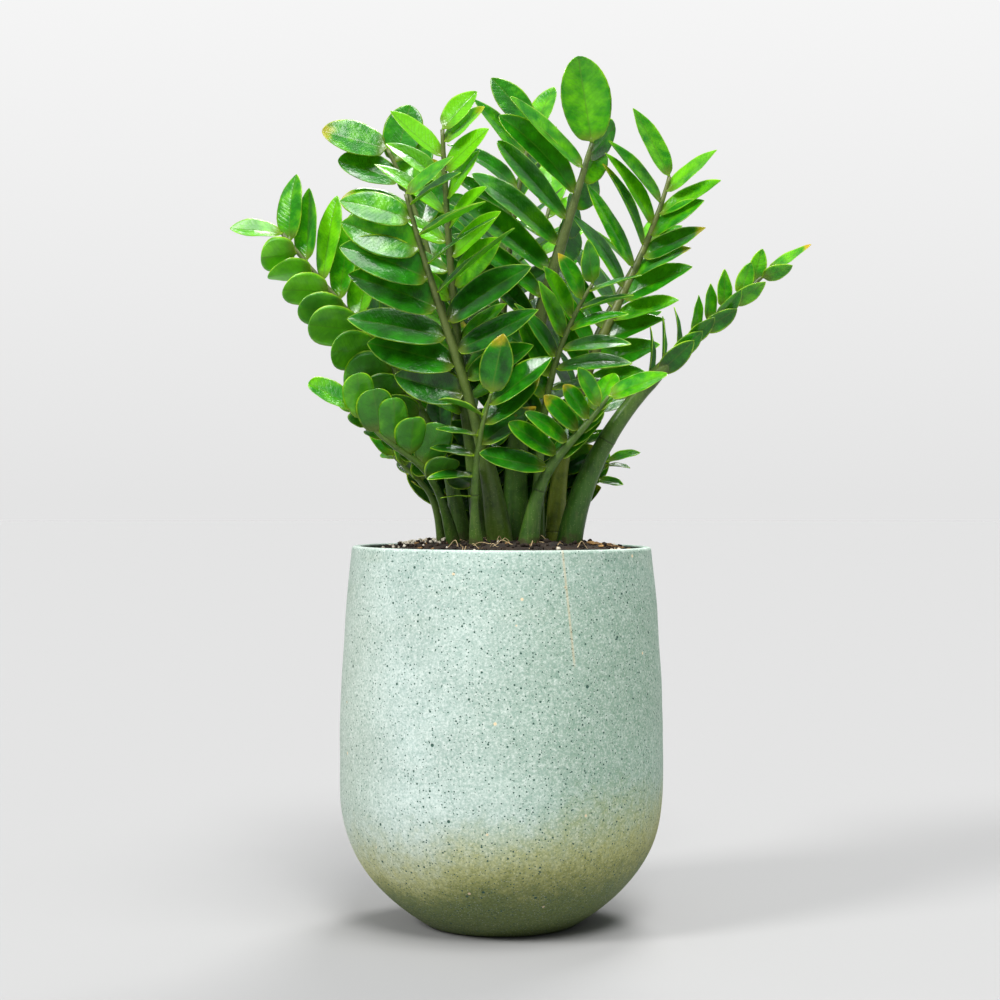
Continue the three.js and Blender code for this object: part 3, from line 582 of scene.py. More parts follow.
def leaflets(frond, number, places):
    """All leaflets of a frond. A ring round the blade at each station u, from 0 at the root to 1 at the
    tip, gives its form. Its half width is the outline, its two faces lie about half a millimetre from the
    middle surface, and the middle surface is folded along the midrib, cupped, twisted and waved at the
    margins, each leaflet by its own amounts. The midrib is a groove above and a ridge below. Near the root
    the blade narrows to a short round stalk."""
    random = np.random.default_rng(1000 + number)
    own = {key: random.uniform(*ends, (len(places), 1, 1)) for key, ends in LEAF_VARIES.items()}
    root, lead, face, length, width, blunt, share = (
        np.array([place[key] for place in places])[:, None, None]
        for key in ("root", "lead", "face", "length", "width", "blunt", "share")
    )
    u, t, side = LEAF_ALONG[None, :, None], LEAF_ACROSS[None, None, :], LEAF_SIDE[None, None, :]
    blade = ease(u * length, *PETIOLE)
    half = blend(PETIOLE_RADIUS, width / 2 * outline(u, blunt), blade)
    thick = blend(PETIOLE_RADIUS, BLADE_HALF_THICKNESS * (1 - 0.35 * u), blade)
    x = half * t
    surface = half * (own["fold"] * (np.sqrt(t * t + 0.01) - 0.5) + own["cup"] * (t * t - 0.33))
    wave = MARGIN_WAVE * np.sin(2 * np.pi * (2.2 * u + own["phase"]) + 1.5 * np.sign(t)) * np.abs(t) ** 3
    groove, ridge = (deep * np.exp(-(x / wide) ** 2) for deep, wide in (MIDRIB_GROOVE, MIDRIB_RIDGE))
    rib = -np.where(side > 0, groove, ridge * (1 - 0.7 * u)) * np.abs(side)
    z = (surface + wave + rib) * blade + side * thick * np.sqrt(1 - t ** 4)
    x, z = swung(x, z, np.radians(own["twist"]) * (u - 0.15))

    def place_at(u, x, z):
        """The point at u along the drooping centre line, x to the side of it and z above it."""
        x = x + own["sickle"] * length * u * u
        z = z - LEAF_DROOP * length * u * u + own["arch"] * length * 4 * u * (1 - u)
        sideways = np.cross(face, lead)
        return root + lead * (length * u)[..., None] + sideways * x[..., None] + face * z[..., None]

    def mark(*values):
        """Three numbers for each point of each leaflet. The fourth only spreads them over all points."""
        return with_ends(np.stack(np.broadcast_arrays(*values, half * t)[:3], axis=-1))

    end = np.ones((1, 1, 1))
    loft = closed_loft(place_at(u, x, z), start=root, end=place_at(end, 0 * end, 0 * end))
    # painted light and shade: leaflets low down and near the pot's axis are darkened as the shade deep in
    # the foliage, leaflets high on a frond are lighter and those low on it darker, and each frond's own
    # value holds painted light and shade too
    halfway = root + lead * length[..., None] / 2
    reach = np.hypot(halfway[..., 0], halfway[..., 1])
    shaded = ease(halfway[..., 2], *SHADE_HEIGHTS) * ease(reach, *SHADE_REACHES)
    tip_light = (share - TIP_LIGHT_FROM) / (1 - TIP_LIGHT_FROM)
    tone_and_shade = FINISH[frond["name"]]["tone_and_shade"] + own["tone"] + 0.20 * tip_light - 0.55 * shaded
    aged = np.where(own["aged"] < FINISH[frond["name"]]["aged"], 0.5 + own["phase"] / 2, 0)
    apart = APART * (np.arange(len(places))[:, None, None] + MOST_LEAFLETS * number)
    marks = dict(
        place=mark(half * t, u * length, apart),
        form=mark(half, u, side),
        own=mark(tone_and_shade, aged, 0),
    )
    return loft, marks


# ---- stalks ----


def stalk(frond, line, number, leaf_shares):
    """A frond's stalk: round rings along its midline. The radius is the stem's, a little more at each joint
    where a leaflet grows and at each scar of a fallen sheath, with a fine groove in the scar, five faint
    ribs along the stalk and slow random swellings."""
    finish, length, turn = FINISH[frond["name"]], line["length"], turns(STALK_AROUND)
    scars = share_at(line, finish["scars"])
    near = (scars[:, None] + SCAR_RINGS / length).ravel()
    share = np.unique(np.concatenate([np.linspace(0, 1, STALK_RINGS), near]))[:, None]
    off_scar = (share[..., None] - scars) * length
    off_joint = (share[..., None] - np.array(leaf_shares)) * length
    groove = np.exp(-(off_scar / 0.7) ** 2).max(-1)
    grow = 1 + 0.06 * np.exp(-(off_scar / 5) ** 2).sum(-1) + 0.10 * np.exp(-(off_joint / 3) ** 2).max(-1)
    grow = grow + 0.015 * np.cos(5 * turn + number) * ease(share, 1, 2 / 3)
    grow = grow + 0.03 * lumps(turn / (2 * np.pi) * 4, share * length, 16, 60 + number)
    radius = stem_radius(frond, share) * 0.97 * grow - 0.35 * groove
    rings = tube(*along(line, share[:, 0]), (1, 0, 0), turn, radius)
    own = np.stack(np.broadcast_arrays(finish["olive"], groove, rings[..., 2]), -1)
    return closed_loft(rings[None]), dict(own=with_ends(own[None]))


def sheath(frond, line, low, high, facing, spread):
    """A dry sheath that still clings to a stalk: a thin shell from the height low to high, wrapped spread
    degrees round the side that it faces. It narrows upwards to a torn edge and stands off as it rises."""
    v = np.linspace(0, 1, SHEATH_UP)[:, None]
    a = np.linspace(-1, 1, SHEATH_ROUND)[None, :]
    torn = 1 - 0.28 * np.abs(lumps(a * 9 + facing, v * 0, 2.2, 7)) - 0.35 * a * a
    share = share_at(line, low + (high - low) * v * torn)
    point, tangent = (part.reshape(*share.shape, 3) for part in along(line, share.ravel()))
    angle = np.radians(facing + spread / 2 * a * (1 - 0.45 * v ** 2))
    radius = stem_radius(frond, share) + 0.5 + 3.2 * v ** 2 + 0.7 * lumps(a * 6, v * 6, 1, 3)
    inner, outer = (
        tube(point, tangent, (1, 0, 0), angle[..., None], radius[..., None] + out)[..., 0, :]
        for out in (0, SHEATH_THICKNESS)
    )
    return np.concatenate([outer, inner[:, ::-1]], axis=1)


# ---- pot and soil ----


def pot_radius(height):
    """The pot's outer radius: it swells out of the base to the belly and draws in a little to the rim."""
    below = np.clip(1 - height / BELLY_HEIGHT, 0, 1)
    above = np.clip((height - BELLY_HEIGHT) / (POT_HEIGHT - BELLY_HEIGHT), 0, 1)
    swell = BELLY_RADIUS - (BELLY_RADIUS - BASE_RADIUS) * below ** BASE_CURVE
    return swell - (BELLY_RADIUS - RIM_RADIUS) * above ** 2


def wall_radius(height):
    """The inner radius: the outer one, shifted up by the floor's thickness and in by the wall's."""
    return pot_radius(height - FLOOR) - WALL


def pot():
    """The pot is its profile turned about the axis: the underside, the outer wall, the rounded rim, the
    inner wall and the floor inside. The casting isn't quite true: the wall is out by up to half a
    millimetre, and the rim sinks by up to two towards the front right."""
    low_edge = np.array([[20, 0], [45, 0], [65, 0], [72, 0], [74.2, 0.25]])
    under_rim = POT_HEIGHT - RIM_ROUND
    height = np.concatenate([np.linspace(0.9, 60, 26), np.linspace(63, under_rim - 0.5, 69), [under_rim]])
    outside = np.stack([pot_radius(height), height], -1)
    turn = np.radians(np.linspace(12, 90, 7))
    centre = np.array([pot_radius(POT_HEIGHT) - RIM_ROUND, under_rim])
    rim = centre + RIM_ROUND * np.stack([np.cos(turn), np.sin(turn)], -1)
    edge = wall_radius(POT_HEIGHT)
    bevel = np.array([
        [edge + INNER_BEVEL + 0.5, POT_HEIGHT], [edge + 1.2, POT_HEIGHT - 0.4],
        [edge + 0.4, POT_HEIGHT - 1.1], [edge, POT_HEIGHT - INNER_BEVEL],
    ])
    height = np.concatenate([np.linspace(POT_HEIGHT - 4, 340, 10), np.linspace(320, FLOOR + 2, 24)])
    inside = np.stack([wall_radius(height), height], -1)
    floor = np.array([[wall_radius(FLOOR) - 1, FLOOR], [40, FLOOR], [15, FLOOR]])
    profile = np.concatenate([low_edge, outside, rim, bevel, inside, floor])
    radius, height = profile[:, :1], profile[:, 1:]
    row, turn = np.arange(len(profile))[:, None], turns(POT_AROUND)
    rim_top = len(low_edge) + len(outside) + len(rim)
    hidden = row >= rim_top + 2
    # the rim's pale band on its rounded top: partly wear, partly a painted highlight
    rim_wear_and_highlight = np.exp(-((row - (rim_top - 3)) / 2.5) ** 2)
    untrue = 0.5 * lumps(turn / (2 * np.pi) * 12 * 40, height, 40, 11) * ~hidden
    untrue = untrue * ease(height, 0, 30) * ease(height, POT_HEIGHT, POT_HEIGHT - 9)
    sunk = ease(height, 335, POT_HEIGHT) * (1 + np.cos(turn - np.radians(-50)))
    rings = round_axis(radius + untrue, turn, height - sunk)
    own = np.stack(np.broadcast_arrays(hidden, rim_wear_and_highlight, 0 * turn), -1)
    ends = np.array([[0, 0, 0]], float), np.array([[0, 0, FLOOR]], float)
    return closed_loft(rings[None], *ends), dict(own=with_ends(own[None]))


def soil_height(x, y):
    """The top of the soil: a low mound, highest in the middle, with lumps of three sizes on it."""
    share = np.hypot(x, y) / wall_radius(SOIL_AT_WALL)
    mound = SOIL_AT_WALL + SOIL_MOUND * (1 - np.clip(share, 0, 1) ** 3)
    rough = 1.6 * lumps(x, y, 24, 21) + 1.3 * lumps(x, y, 9, 22) + 0.7 * lumps(x, y, 4, 23)
    return mound + rough * ease((1.02 - share) * 12)


def soil():
    """The soil: it fills the pot up to a little under the rim, with its lumpy top."""
    turn = turns(SOIL_AROUND)
    height = np.linspace(FLOOR + SEAT_GAP, SOIL_AT_WALL - 4, 26)[:, None]
    sides = round_axis(wall_radius(height) - SEAT_GAP, turn, height)
    radius = (wall_radius(SOIL_AT_WALL) - SEAT_GAP) * np.linspace(1, 0.02, 52)[:, None]
    x, y = radius * np.cos(turn), radius * np.sin(turn)
    rings = np.concatenate([sides, np.stack([x, y, soil_height(x, y)], -1)])
    return closed_loft(rings[None], start=np.array([[0.0, 0.0, FLOOR + SEAT_GAP]]))


def grains(spots, sizes, stretch, tilt, seed):
    """Loose grains that lie on the soil, one at each spot: round forms of four rings, dented at random,
    stretched along their own axes, tilted by up to tilt degrees and turned any way about the upright."""
    random = np.random.default_rng(seed)
    count, rise = len(spots), np.radians(GRAIN_RISE)[:, None]
    ball = round_axis(np.cos(rise), turns(GRAIN_AROUND), np.sin(rise))
    form = ball * random.uniform(0.72, 1.12, (count, *ball.shape[:2], 1)) * stretch
    size = random.uniform(*sizes, (count, 1, 1, 1)) / 2
    spin = random.uniform(0, 2 * np.pi, (count, 1, 1))
    lean = np.radians(random.uniform(-tilt, tilt, (count, 1, 1)))
    x, y, z = np.moveaxis(form, -1, 0)
    y, z = swung(y, z, lean)
    x, y = swung(x, y, spin)
    middle = np.column_stack([spots, soil_height(*spots.T)])[:, None, None]
    middle[..., 2] += size[..., 0] * stretch[2] * 0.6
    return closed_loft(middle + size * np.stack([x, y, z], -1))


def spots_on_soil(count, seed, centre=None, spread=None, reach=130):
    """Random spots on the soil inside reach and clear of the stalks' feet, evenly spread or, where a centre
    is given, thickest there."""
    random = np.random.default_rng(seed)
    if centre:
        spots = random.normal(centre, spread, (count * 60, 2))
    else:
        spots = random.uniform(-reach, reach, (count * 4, 2))
    feet = np.array([frond["foot"] for frond in FRONDS], float)
    girth = np.array([frond["stem"][0] for frond in FRONDS]) + 1.5
    clear = (np.linalg.norm(spots[:, None] - feet, axis=-1) > girth).all(axis=1)
    return spots[clear & (np.hypot(*spots.T) < reach)][:count]


def rootlets(seed, count):
    """Pale rootlets and fibres: thin round threads that wander over the soil from beside the stalks."""
    random = np.random.default_rng(seed)
    start = spots_on_soil(count, seed, (6, -58), 34, 118)
    s = np.linspace(0, 1, ROOTLET_POINTS)[None, :]
    heading = random.uniform(0, 2 * np.pi, (count, 1)) + random.uniform(-1.6, 1.6, (count, 1)) * s
    step = random.uniform(10, 26, (count, 1)) / ROOTLET_POINTS
    x = start[:, :1] + (np.cos(heading) * step).cumsum(1)
    y = start[:, 1:] + (np.sin(heading) * step).cumsum(1)
    lift = random.uniform(1, 7, (count, 1)) * np.sin(np.pi * s) ** 2
    line = np.stack([x, y, soil_height(x, y) + lift], -1)
    tangent, radius = unit(np.gradient(line, axis=1)), 0.5 * (1.1 - 0.7 * s)[..., None]
    return closed_loft(tube(line, tangent, (0, 0, 1), turns(ROOTLET_AROUND), radius))


# ---- materials ----

FACTOR, FIRST, SECOND, MIXED = 0, 6, 7, 2  # the sockets of a Mix node that mixes colours
COLOURS = dict(data_type="RGBA")
EVENLY, SOFTLY = "LINEAR", "SMOOTHSTEP"  # how a tint grows from nothing to its full strength
METRE = 1 / MM  # a pattern with the Scale METRE / 9 is 9 mm wide in Object coordinates

# In a material's table of layers, each tint is laid over the ones before it. Its row gives what it goes by,
# the values of that at which it starts and is full, how it grows between them, its full strength, and its
# colour.

# the dry and loose stuffs: their darkest and palest colour, the size of their grain and their roughness
STUFFS = {
    "peat_soil": ("#0e0a06", "#33261a", 1.6, 0.95),  # damp peat, crumbled: nearly black, with brown fibres
    "perlite": ("#a79b84", "#e6dfd0", 3.0, 0.9),  # puffed volcanic glass: chalky, off-white beads
    "pine_bark": ("#4a2c16", "#b08a54", 2.2, 0.85),  # chipped bark: red-brown, straw-coloured where it broke
    "rootlet": ("#8f7650", "#cdb68c", 1.5, 0.8),  # dry root: straw-coloured
    "dried_sheath": ("#2a1c10", "#6a4a2a", 2.5, 0.8),  # withered leaf base: papery and brown
}


def linear(colour):
    """An sRGB hex colour as the linear colour that the shaders read."""
    srgb = np.array([int(colour[i:i + 2], 16) for i in (1, 3, 5)]) / 255
    rgb = np.where(srgb <= 0.04045, srgb / 12.92, ((srgb + 0.055) / 1.055) ** 2.4)
    return (*rgb.tolist(), 1.0)


def add(tree, kind, inputs=None, **settings):
    """Adds one node: settings are its own properties, and inputs gives each of its sockets a value or a link
    from another node. Returns the node's outputs."""
    node = tree.nodes.new("ShaderNode" + kind)
    for name, value in settings.items():
        setattr(node, name, value)
    for socket, value in (inputs or {}).items():
        if isinstance(value, bpy.types.NodeSocket):
            tree.links.new(value, node.inputs[socket])
        else:
            node.inputs[socket].default_value = value
    return node.outputs


def new_material(name):
    """An empty material and its node tree."""
    material = bpy.data.materials.new(name)
    material.use_nodes = True
    material.node_tree.nodes.clear()
    return material, material.node_tree


def waxy_leaflet():
    """Leaflet: thick green flesh under a smooth coat of wax. The wax gives sharp, slightly rippled
    highlights. Light from behind glows yellow-green. The midrib and faint side veins are lines in the
    green, the margin is a thin pale line that comes and goes, the underside is paler and duller, and old
    leaflets are yellow at the end. The green also holds painted light and shade: it is lighter and yellower
    on lit leaflets and nearly black on those deep in shade. Of its marks, place is how far across and along
    the leaflet a point is, form its half width, share of the length and side, and own how light the
    leaflet's green is, painted light and shade included, and how aged it is."""
    material, tree = new_material("waxy_leaflet")
    spot = add(tree, "Attribute", attribute_name="place")["Vector"]
    place, form, own = (
        add(tree, "SeparateXYZ", {0: add(tree, "Attribute", attribute_name=mark)["Vector"]})
        for mark in ("place", "form", "own")
    )
    cloud = add(tree, "TexNoise", {"Vector": spot, "Scale": 1 / 14, "Detail": 3.0})["Fac"]
    blot = add(tree, "TexNoise", {"Vector": spot, "Scale": 1 / 9, "Detail": 4.0, "Roughness": 0.65})["Fac"]
    ripple = add(tree, "TexNoise", {"Vector": spot, "Scale": 1 / 6, "Detail": 2.5, "Roughness": 0.5})["Fac"]
    grain = add(tree, "TexNoise", {"Vector": spot, "Scale": 1 / 0.7, "Detail": 2.0})["Fac"]
    # the green is patchy within each leaflet
    patch = {"Value": cloud, "From Min": 0.3, "From Max": 0.7, "To Min": -0.25, "To Max": 0.25}
    tone_and_shade = add(tree, "Math", {0: own["X"], 1: add(tree, "MapRange", patch)[0]}, operation="ADD")[0]
    # side veins 4.5 mm apart and a little wavy, swept towards the tip
    off_rib = add(tree, "Math", {0: place["X"]}, operation="ABSOLUTE")[0]
    swept = add(tree, "Math", {0: off_rib, 1: -0.75, 2: place["Y"]}, operation="MULTIPLY_ADD")[0]
    wavy = add(tree, "Math", {0: ripple, 1: 5.0, 2: swept}, operation="MULTIPLY_ADD")[0]
    off_vein = add(tree, "Math", {0: wavy, 1: 4.5 / 2}, operation="PINGPONG")[0]
    vein = add(tree, "MapRange", {
        "Value": off_vein, "From Min": 0.8, "From Max": 0.0,
    }, interpolation_type=SOFTLY)[0]
    # the margin's pale line, which fades within 1.7 mm and comes and goes, and a yellow end's ragged border
    inward = add(tree, "Math", {0: form["X"], 1: off_rib}, operation="SUBTRACT")[0]
    pale = add(tree, "MapRange", {
        "Value": cloud, "From Min": 0.36, "From Max": 0.58, "To Min": 0.3, "To Max": 0.95,
    })[0]
    ragged = add(tree, "Math", {0: cloud, 1: 0.5, 2: form["Y"]}, operation="MULTIPLY_ADD")[0]
    green = linear("#0c460c")
    for value, start, full, growth, strength, tint in (
        # the green follows the leaflet's tone, which holds painted light and shade: it is lighter and
        # yellower where the leaflet is lit, and from 0.1 down it darkens towards nearly black as painted
        # shade deep in the foliage
        (tone_and_shade, 0.0, 0.5, EVENLY, 1.0, "#2c9410"),
        (tone_and_shade, 0.5, 1.0, EVENLY, 1.0, "#82de12"),
        (tone_and_shade, 0.1, -0.5, EVENLY, 0.85, "#06240a"),
        (vein, 0.0, 1.0, EVENLY, 0.15, "#0f4409"),
        (off_rib, 1.0, 0.35, SOFTLY, 0.5, "#5f8a26"),
        (form["Z"], 0.0, -1.0, EVENLY, 0.4, "#5c9430"),  # the underside
        (place["Y"], 16.0, 3.0, SOFTLY, 0.75, "#76812a"),  # the root
        (inward, 1.7, 0.3, SOFTLY, pale, "#bce62e"),
        (ragged, 1.02, 1.25, SOFTLY, own["Y"], "#d8b024"),
        (blot, 0.66, 0.72, SOFTLY, own["Y"], "#8a4a18"),  # rust-brown spots
    ):
        span = {"Value": value, "From Min": start, "From Max": full, "To Max": strength}
        share = add(tree, "MapRange", span, interpolation_type=growth)[0]
        green = add(tree, "Mix", {FACTOR: share, FIRST: green, SECOND: linear(tint)}, **COLOURS)[MIXED]
    # relief: sunken veins, slow ripples and a fine grain
    height = add(tree, "Math", {0: vein, 1: -0.10, 2: ripple}, operation="MULTIPLY_ADD")[0]
    height = add(tree, "Math", {0: grain, 1: 0.03, 2: height}, operation="MULTIPLY_ADD")[0]
    normal = add(tree, "Bump", {"Strength": 0.6, "Distance": 0.0013, "Height": height})["Normal"]
    dull = add(tree, "MapRange", {
        "Value": form["Z"], "From Min": 1.0, "From Max": -1.0, "To Min": 0.20, "To Max": 0.45,
    })[0]
    rough = add(tree, "Math", {0: ripple, 1: 0.10, 2: dull}, operation="MULTIPLY_ADD")[0]
    skin = add(tree, "BsdfPrincipled", {
        "Base Color": green, "Roughness": rough, "IOR": 1.46, "Normal": normal,
        "Coat Weight": 0.5, "Coat Roughness": 0.10,
    })[0]
    glow = add(tree, "Mix", {FACTOR: 0.56, FIRST: green, SECOND: linear("#b6ee28")}, **COLOURS)[MIXED]
    through = add(tree, "BsdfTranslucent", {"Color": glow, "Normal": normal})[0]
    both = add(tree, "MixShader", {0: 0.42, 1: skin, 2: through})[0]
    add(tree, "OutputMaterial", {"Surface": both})
    return material


def fleshy_stalk():
    """Stalk: firm, juicy and satin, dark green with pale flecks and darker clouds. It is brown and corky
    where it leaves the soil, has a dark ring at each scar, and turns a dull brownish green along the leafy
    stretch. Low down it is painted darker, as the shade between the stalks, less so where it is olive. Its
    own mark is how olive it is, how near a scar's groove a point is, and its height in millimetres."""
    material, tree = new_material("fleshy_stalk")
    own = add(tree, "SeparateXYZ", {0: add(tree, "Attribute", attribute_name="own")["Vector"]})
    spot = add(tree, "TexCoord")["Object"]
    long_way = add(tree, "Mapping", {"Vector": spot, "Scale": (1, 1, 0.12)})[0]
    cloud = add(tree, "TexNoise", {
        "Vector": spot, "Scale": METRE / 14, "Detail": 4.0, "Roughness": 0.6,
    })["Fac"]
    fibre = add(tree, "TexNoise", {"Vector": long_way, "Scale": METRE / 2.2, "Detail": 3.0})["Fac"]
    fleck = add(tree, "TexVoronoi", {"Vector": spot, "Scale": METRE / 2.6})["Distance"]
    # painted shade: from 470 mm down to 385 mm the stalk darkens as the shade between the stalks, less where
    # it is olive
    painted_shade_low = add(tree, "Math", {0: own["X"], 1: -0.55, 2: 0.55}, operation="MULTIPLY_ADD")[0]
    ragged = add(tree, "Math", {0: cloud, 1: 60.0, 2: own["Z"]}, operation="MULTIPLY_ADD")[0]
    corky = add(tree, "MapRange", {
        "Value": ragged, "From Min": 416.0, "From Max": 400.0, "To Max": 0.8,
    }, interpolation_type=SOFTLY)[0]
    colour = linear("#2a6416")
    for value, start, full, growth, strength, tint in (
        (own["X"], 0.0, 1.0, EVENLY, 1.0, "#74822a"),
        (own["Z"], 430.0, 620.0, EVENLY, 0.8, "#5f6638"),
        (cloud, 0.45, 0.7, SOFTLY, 0.55, "#17380e"),
        (own["Z"], 470.0, 385.0, SOFTLY, painted_shade_low, "#142f0c"),
        (fleck, 0.26, 0.16, SOFTLY, 0.2, "#9aae6a"),
        (fibre, 0.5, 0.75, EVENLY, 0.16, "#8a8f56"),
        (corky, 0.0, 1.0, EVENLY, 1.0, "#3a2d1a"),
        (own["Y"], 0.0, 1.0, EVENLY, 0.65, "#1d180c"),
    ):
        span = {"Value": value, "From Min": start, "From Max": full, "To Max": strength}
        share = add(tree, "MapRange", span, interpolation_type=growth)[0]
        colour = add(tree, "Mix", {FACTOR: share, FIRST: colour, SECOND: linear(tint)}, **COLOURS)[MIXED]
    height = add(tree, "Math", {0: cloud, 1: 0.5, 2: fibre}, operation="MULTIPLY_ADD")[0]
    normal = add(tree, "Bump", {"Strength": 0.5, "Distance": 0.0005, "Height": height})["Normal"]
    rough = add(tree, "MapRange", {
        "Value": corky, "From Min": 0.0, "From Max": 0.85, "To Min": 0.38, "To Max": 0.8,
    })[0]
    skin = add(tree, "BsdfPrincipled", {
        "Base Color": colour, "Roughness": rough, "IOR": 1.40, "Normal": normal,
        "Coat Weight": 0.06, "Coat Roughness": 0.25,
    })[0]
    add(tree, "OutputMaterial", {"Surface": skin})
    return material


def cast_terrazzo():
    """Pot: terrazzo of fine marble grit in a blue-green cement, cast and ground matt. The eye sees pale and
    dark grit of 1 to 2 mm in cloudy, finely grained cement, pinholes that air left in the casting, painted
    dark as the shade in them, an olive stain that water drew up from the base, mossy and darker at the
    foot, partly as painted shade, a thin tan drip at the front right, a paler rim, partly worn and partly
    a painted highlight, and a darker wall inside. The right side is painted darker and greener as shade.
    Its own mark is 1 on that wall, and how pale the rim is by wear and painted highlight."""
    material, tree = new_material("cast_terrazzo")
    own = add(tree, "SeparateXYZ", {0: add(tree, "Attribute", attribute_name="own")["Vector"]})
    spot = add(tree, "TexCoord")["Object"]
    where = add(tree, "SeparateXYZ", {0: spot})
    flat = add(tree, "Mapping", {"Vector": spot, "Scale": (0.25, 0.25, 1.0)})[0]
    cloud = add(tree, "TexNoise", {"Vector": spot, "Scale": METRE / 90, "Detail": 3.0})["Fac"]
    bands = add(tree, "TexNoise", {"Vector": flat, "Scale": METRE / 22, "Detail": 2.0})["Fac"]
    mottle, fine = (
        add(tree, "TexNoise", {"Vector": spot, "Scale": scale, "Detail": detail, "Roughness": 0.6})["Fac"]
        for scale, detail in ((METRE / 9, 4.0), (METRE / 2.4, 3.0))
    )
    # where, in metres: the bands fade in from 0.27 m up
    high = add(tree, "MapRange", {
        "Value": where["Z"], "From Min": 0.27, "From Max": 0.35, "To Max": 0.3,
    }, interpolation_type=SOFTLY)[0]
    # the stain's border is cloudy and rises to the right, and its colours are mottled
    border = add(tree, "Math", {0: where["X"], 1: -0.14, 2: where["Z"]}, operation="MULTIPLY_ADD")[0]
    border = add(tree, "Math", {0: cloud, 1: 0.06, 2: border}, operation="MULTIPLY_ADD")[0]
    border = add(tree, "Math", {0: mottle, 1: 0.05, 2: border}, operation="MULTIPLY_ADD")[0]
    mottled = add(tree, "MapRange", {"Value": fine, "From Min": 0.3, "From Max": 0.7})[0]
    olive, moss_and_shade = (
        add(tree, "Mix", {FACTOR: mottled, FIRST: linear(first), SECOND: linear(second)}, **COLOURS)[MIXED]
        for first, second in (("#868634", "#bab65e"), ("#43562a", "#66783c"))
    )
    # grit: each Voronoi cell is one grain, 1.5 mm across, and its random colour picks pale, dark or neither
    grit = add(tree, "TexVoronoi", {"Vector": spot, "Scale": METRE / 1.5})
    pick = add(tree, "SeparateColor", {0: grit["Color"]})
    inside = add(tree, "MapRange", {
        "Value": grit["Distance"], "From Min": 0.50, "From Max": 0.22,
    }, interpolation_type=SOFTLY)[0]
    pale, dark = (add(tree, "Math", {0: inside, 1: most}, operation="MULTIPLY")[0] for most in (0.3, 0.6))
    chip = add(tree, "TexVoronoi", {"Vector": spot, "Scale": METRE / 34})["Distance"]
    # pinholes of three kinds: how far apart, and the smallest and largest radius as parts of that, where
    # less than 0 is none. Most are 0.5 to 1.5 mm wide, and a few up to 3.5 mm.
    pit = 0.0
    for apart, smallest, largest in ((2.9, -0.02, 0.28), (6, -0.08, 0.20), (16, -0.04, 0.11)):
        hole = add(tree, "TexVoronoi", {"Vector": spot, "Scale": METRE / apart})
        drawn = add(tree, "SeparateColor", {0: hole["Color"]})[0]
        radius = add(tree, "MapRange", {"Value": drawn, "To Min": smallest, "To Max": largest})[0]
        depth = add(tree, "Math", {0: radius, 1: hole["Distance"]}, operation="SUBTRACT")[0]
        deep = add(tree, "MapRange", {
            "Value": depth, "From Min": -0.02, "From Max": 0.03,
        }, interpolation_type=SOFTLY)[0]
        pit = add(tree, "Math", {0: pit, 1: deep}, operation="MAXIMUM")[0]
    # the drip: how far a point is from its slanting course, and its strength, which ends at 0.264 m
    course = add(tree, "Math", {0: where["Z"], 1: 0.104, 2: where["X"]}, operation="MULTIPLY_ADD")[0]
    off_drip = add(tree, "Math", {0: course, 1: 0.0955}, operation="SUBTRACT")[0]
    off_drip = add(tree, "Math", {0: off_drip}, operation="ABSOLUTE")[0]
    drip = 0.5
    for value, none, full in ((where["Z"], 0.264, 0.272), (where["Y"], 0.0, -0.01)):
        drip = add(tree, "MapRange", {"Value": value, "From Min": none, "From Max": full, "To Max": drip})[0]
    colour = linear("#9aaca4")
    for value, start, full, growth, strength, tint in (
        # the cement: pale clouds, darker and greener to the right as painted shade, greener at the far left
        # and at the top, with bands up there
        (cloud, 0.35, 0.65, EVENLY, 1.0, linear("#b8c9c3")),
        (where["X"], -0.10, 0.12, SOFTLY, 0.85, linear("#74937a")),
        (where["X"], -0.09, -0.155, SOFTLY, 0.5, linear("#8f9c84")),
        (where["Z"], 0.30, 0.36, SOFTLY, 0.32, linear("#86a094")),
        (bands, 0.5, 0.68, SOFTLY, high, linear("#8a9c84")),
        (mottle, 0.35, 0.7, EVENLY, 0.25, linear("#d6e0d8")),
        (fine, 0.5, 0.7, EVENLY, 0.42, linear("#e2eae4")),
        (fine, 0.5, 0.3, EVENLY, 0.5, linear("#6f9084")),
        # the stain, olive above and mossy at the foot, where its dark is partly painted shade
        (border, 0.20, 0.11, SOFTLY, 0.85, olive),
        (border, 0.14, 0.09, SOFTLY, 0.9, moss_and_shade),
        # grit, a few beige chips, pinholes painted dark as the shade in them, the drip, the rim, paler by
        # wear and a painted highlight, and the inner wall
        (pick[0], 0.6, 1.0, EVENLY, pale, linear("#eef2e6")),
        (pick[1], 0.6, 1.0, EVENLY, dark, linear("#5b7f70")),
        (chip, 0.055, 0.035, SOFTLY, 1.0, linear("#d9c4a0")),
        (pit, 0.0, 1.0, EVENLY, 1.0, linear("#2c5044")),
        (off_drip, 0.0016, 0.0004, SOFTLY, drip, linear("#c8b896")),
        (own["Y"], 0.0, 1.0, EVENLY, 0.35, linear("#e4ebe4")),
        (own["X"], 0.0, 1.0, EVENLY, 0.7, linear("#4a5a4c")),
    ):
        span = {"Value": value, "From Min": start, "From Max": full, "To Max": strength}
        share = add(tree, "MapRange", span, interpolation_type=growth)[0]
        colour = add(tree, "Mix", {FACTOR: share, FIRST: colour, SECOND: tint}, **COLOURS)[MIXED]
    height = add(tree, "Math", {0: pit, 1: -1.0, 2: mottle}, operation="MULTIPLY_ADD")[0]
    height = add(tree, "Math", {0: inside, 1: 0.12, 2: height}, operation="MULTIPLY_ADD")[0]
    normal = add(tree, "Bump", {"Strength": 0.6, "Distance": 0.0007, "Height": height})["Normal"]
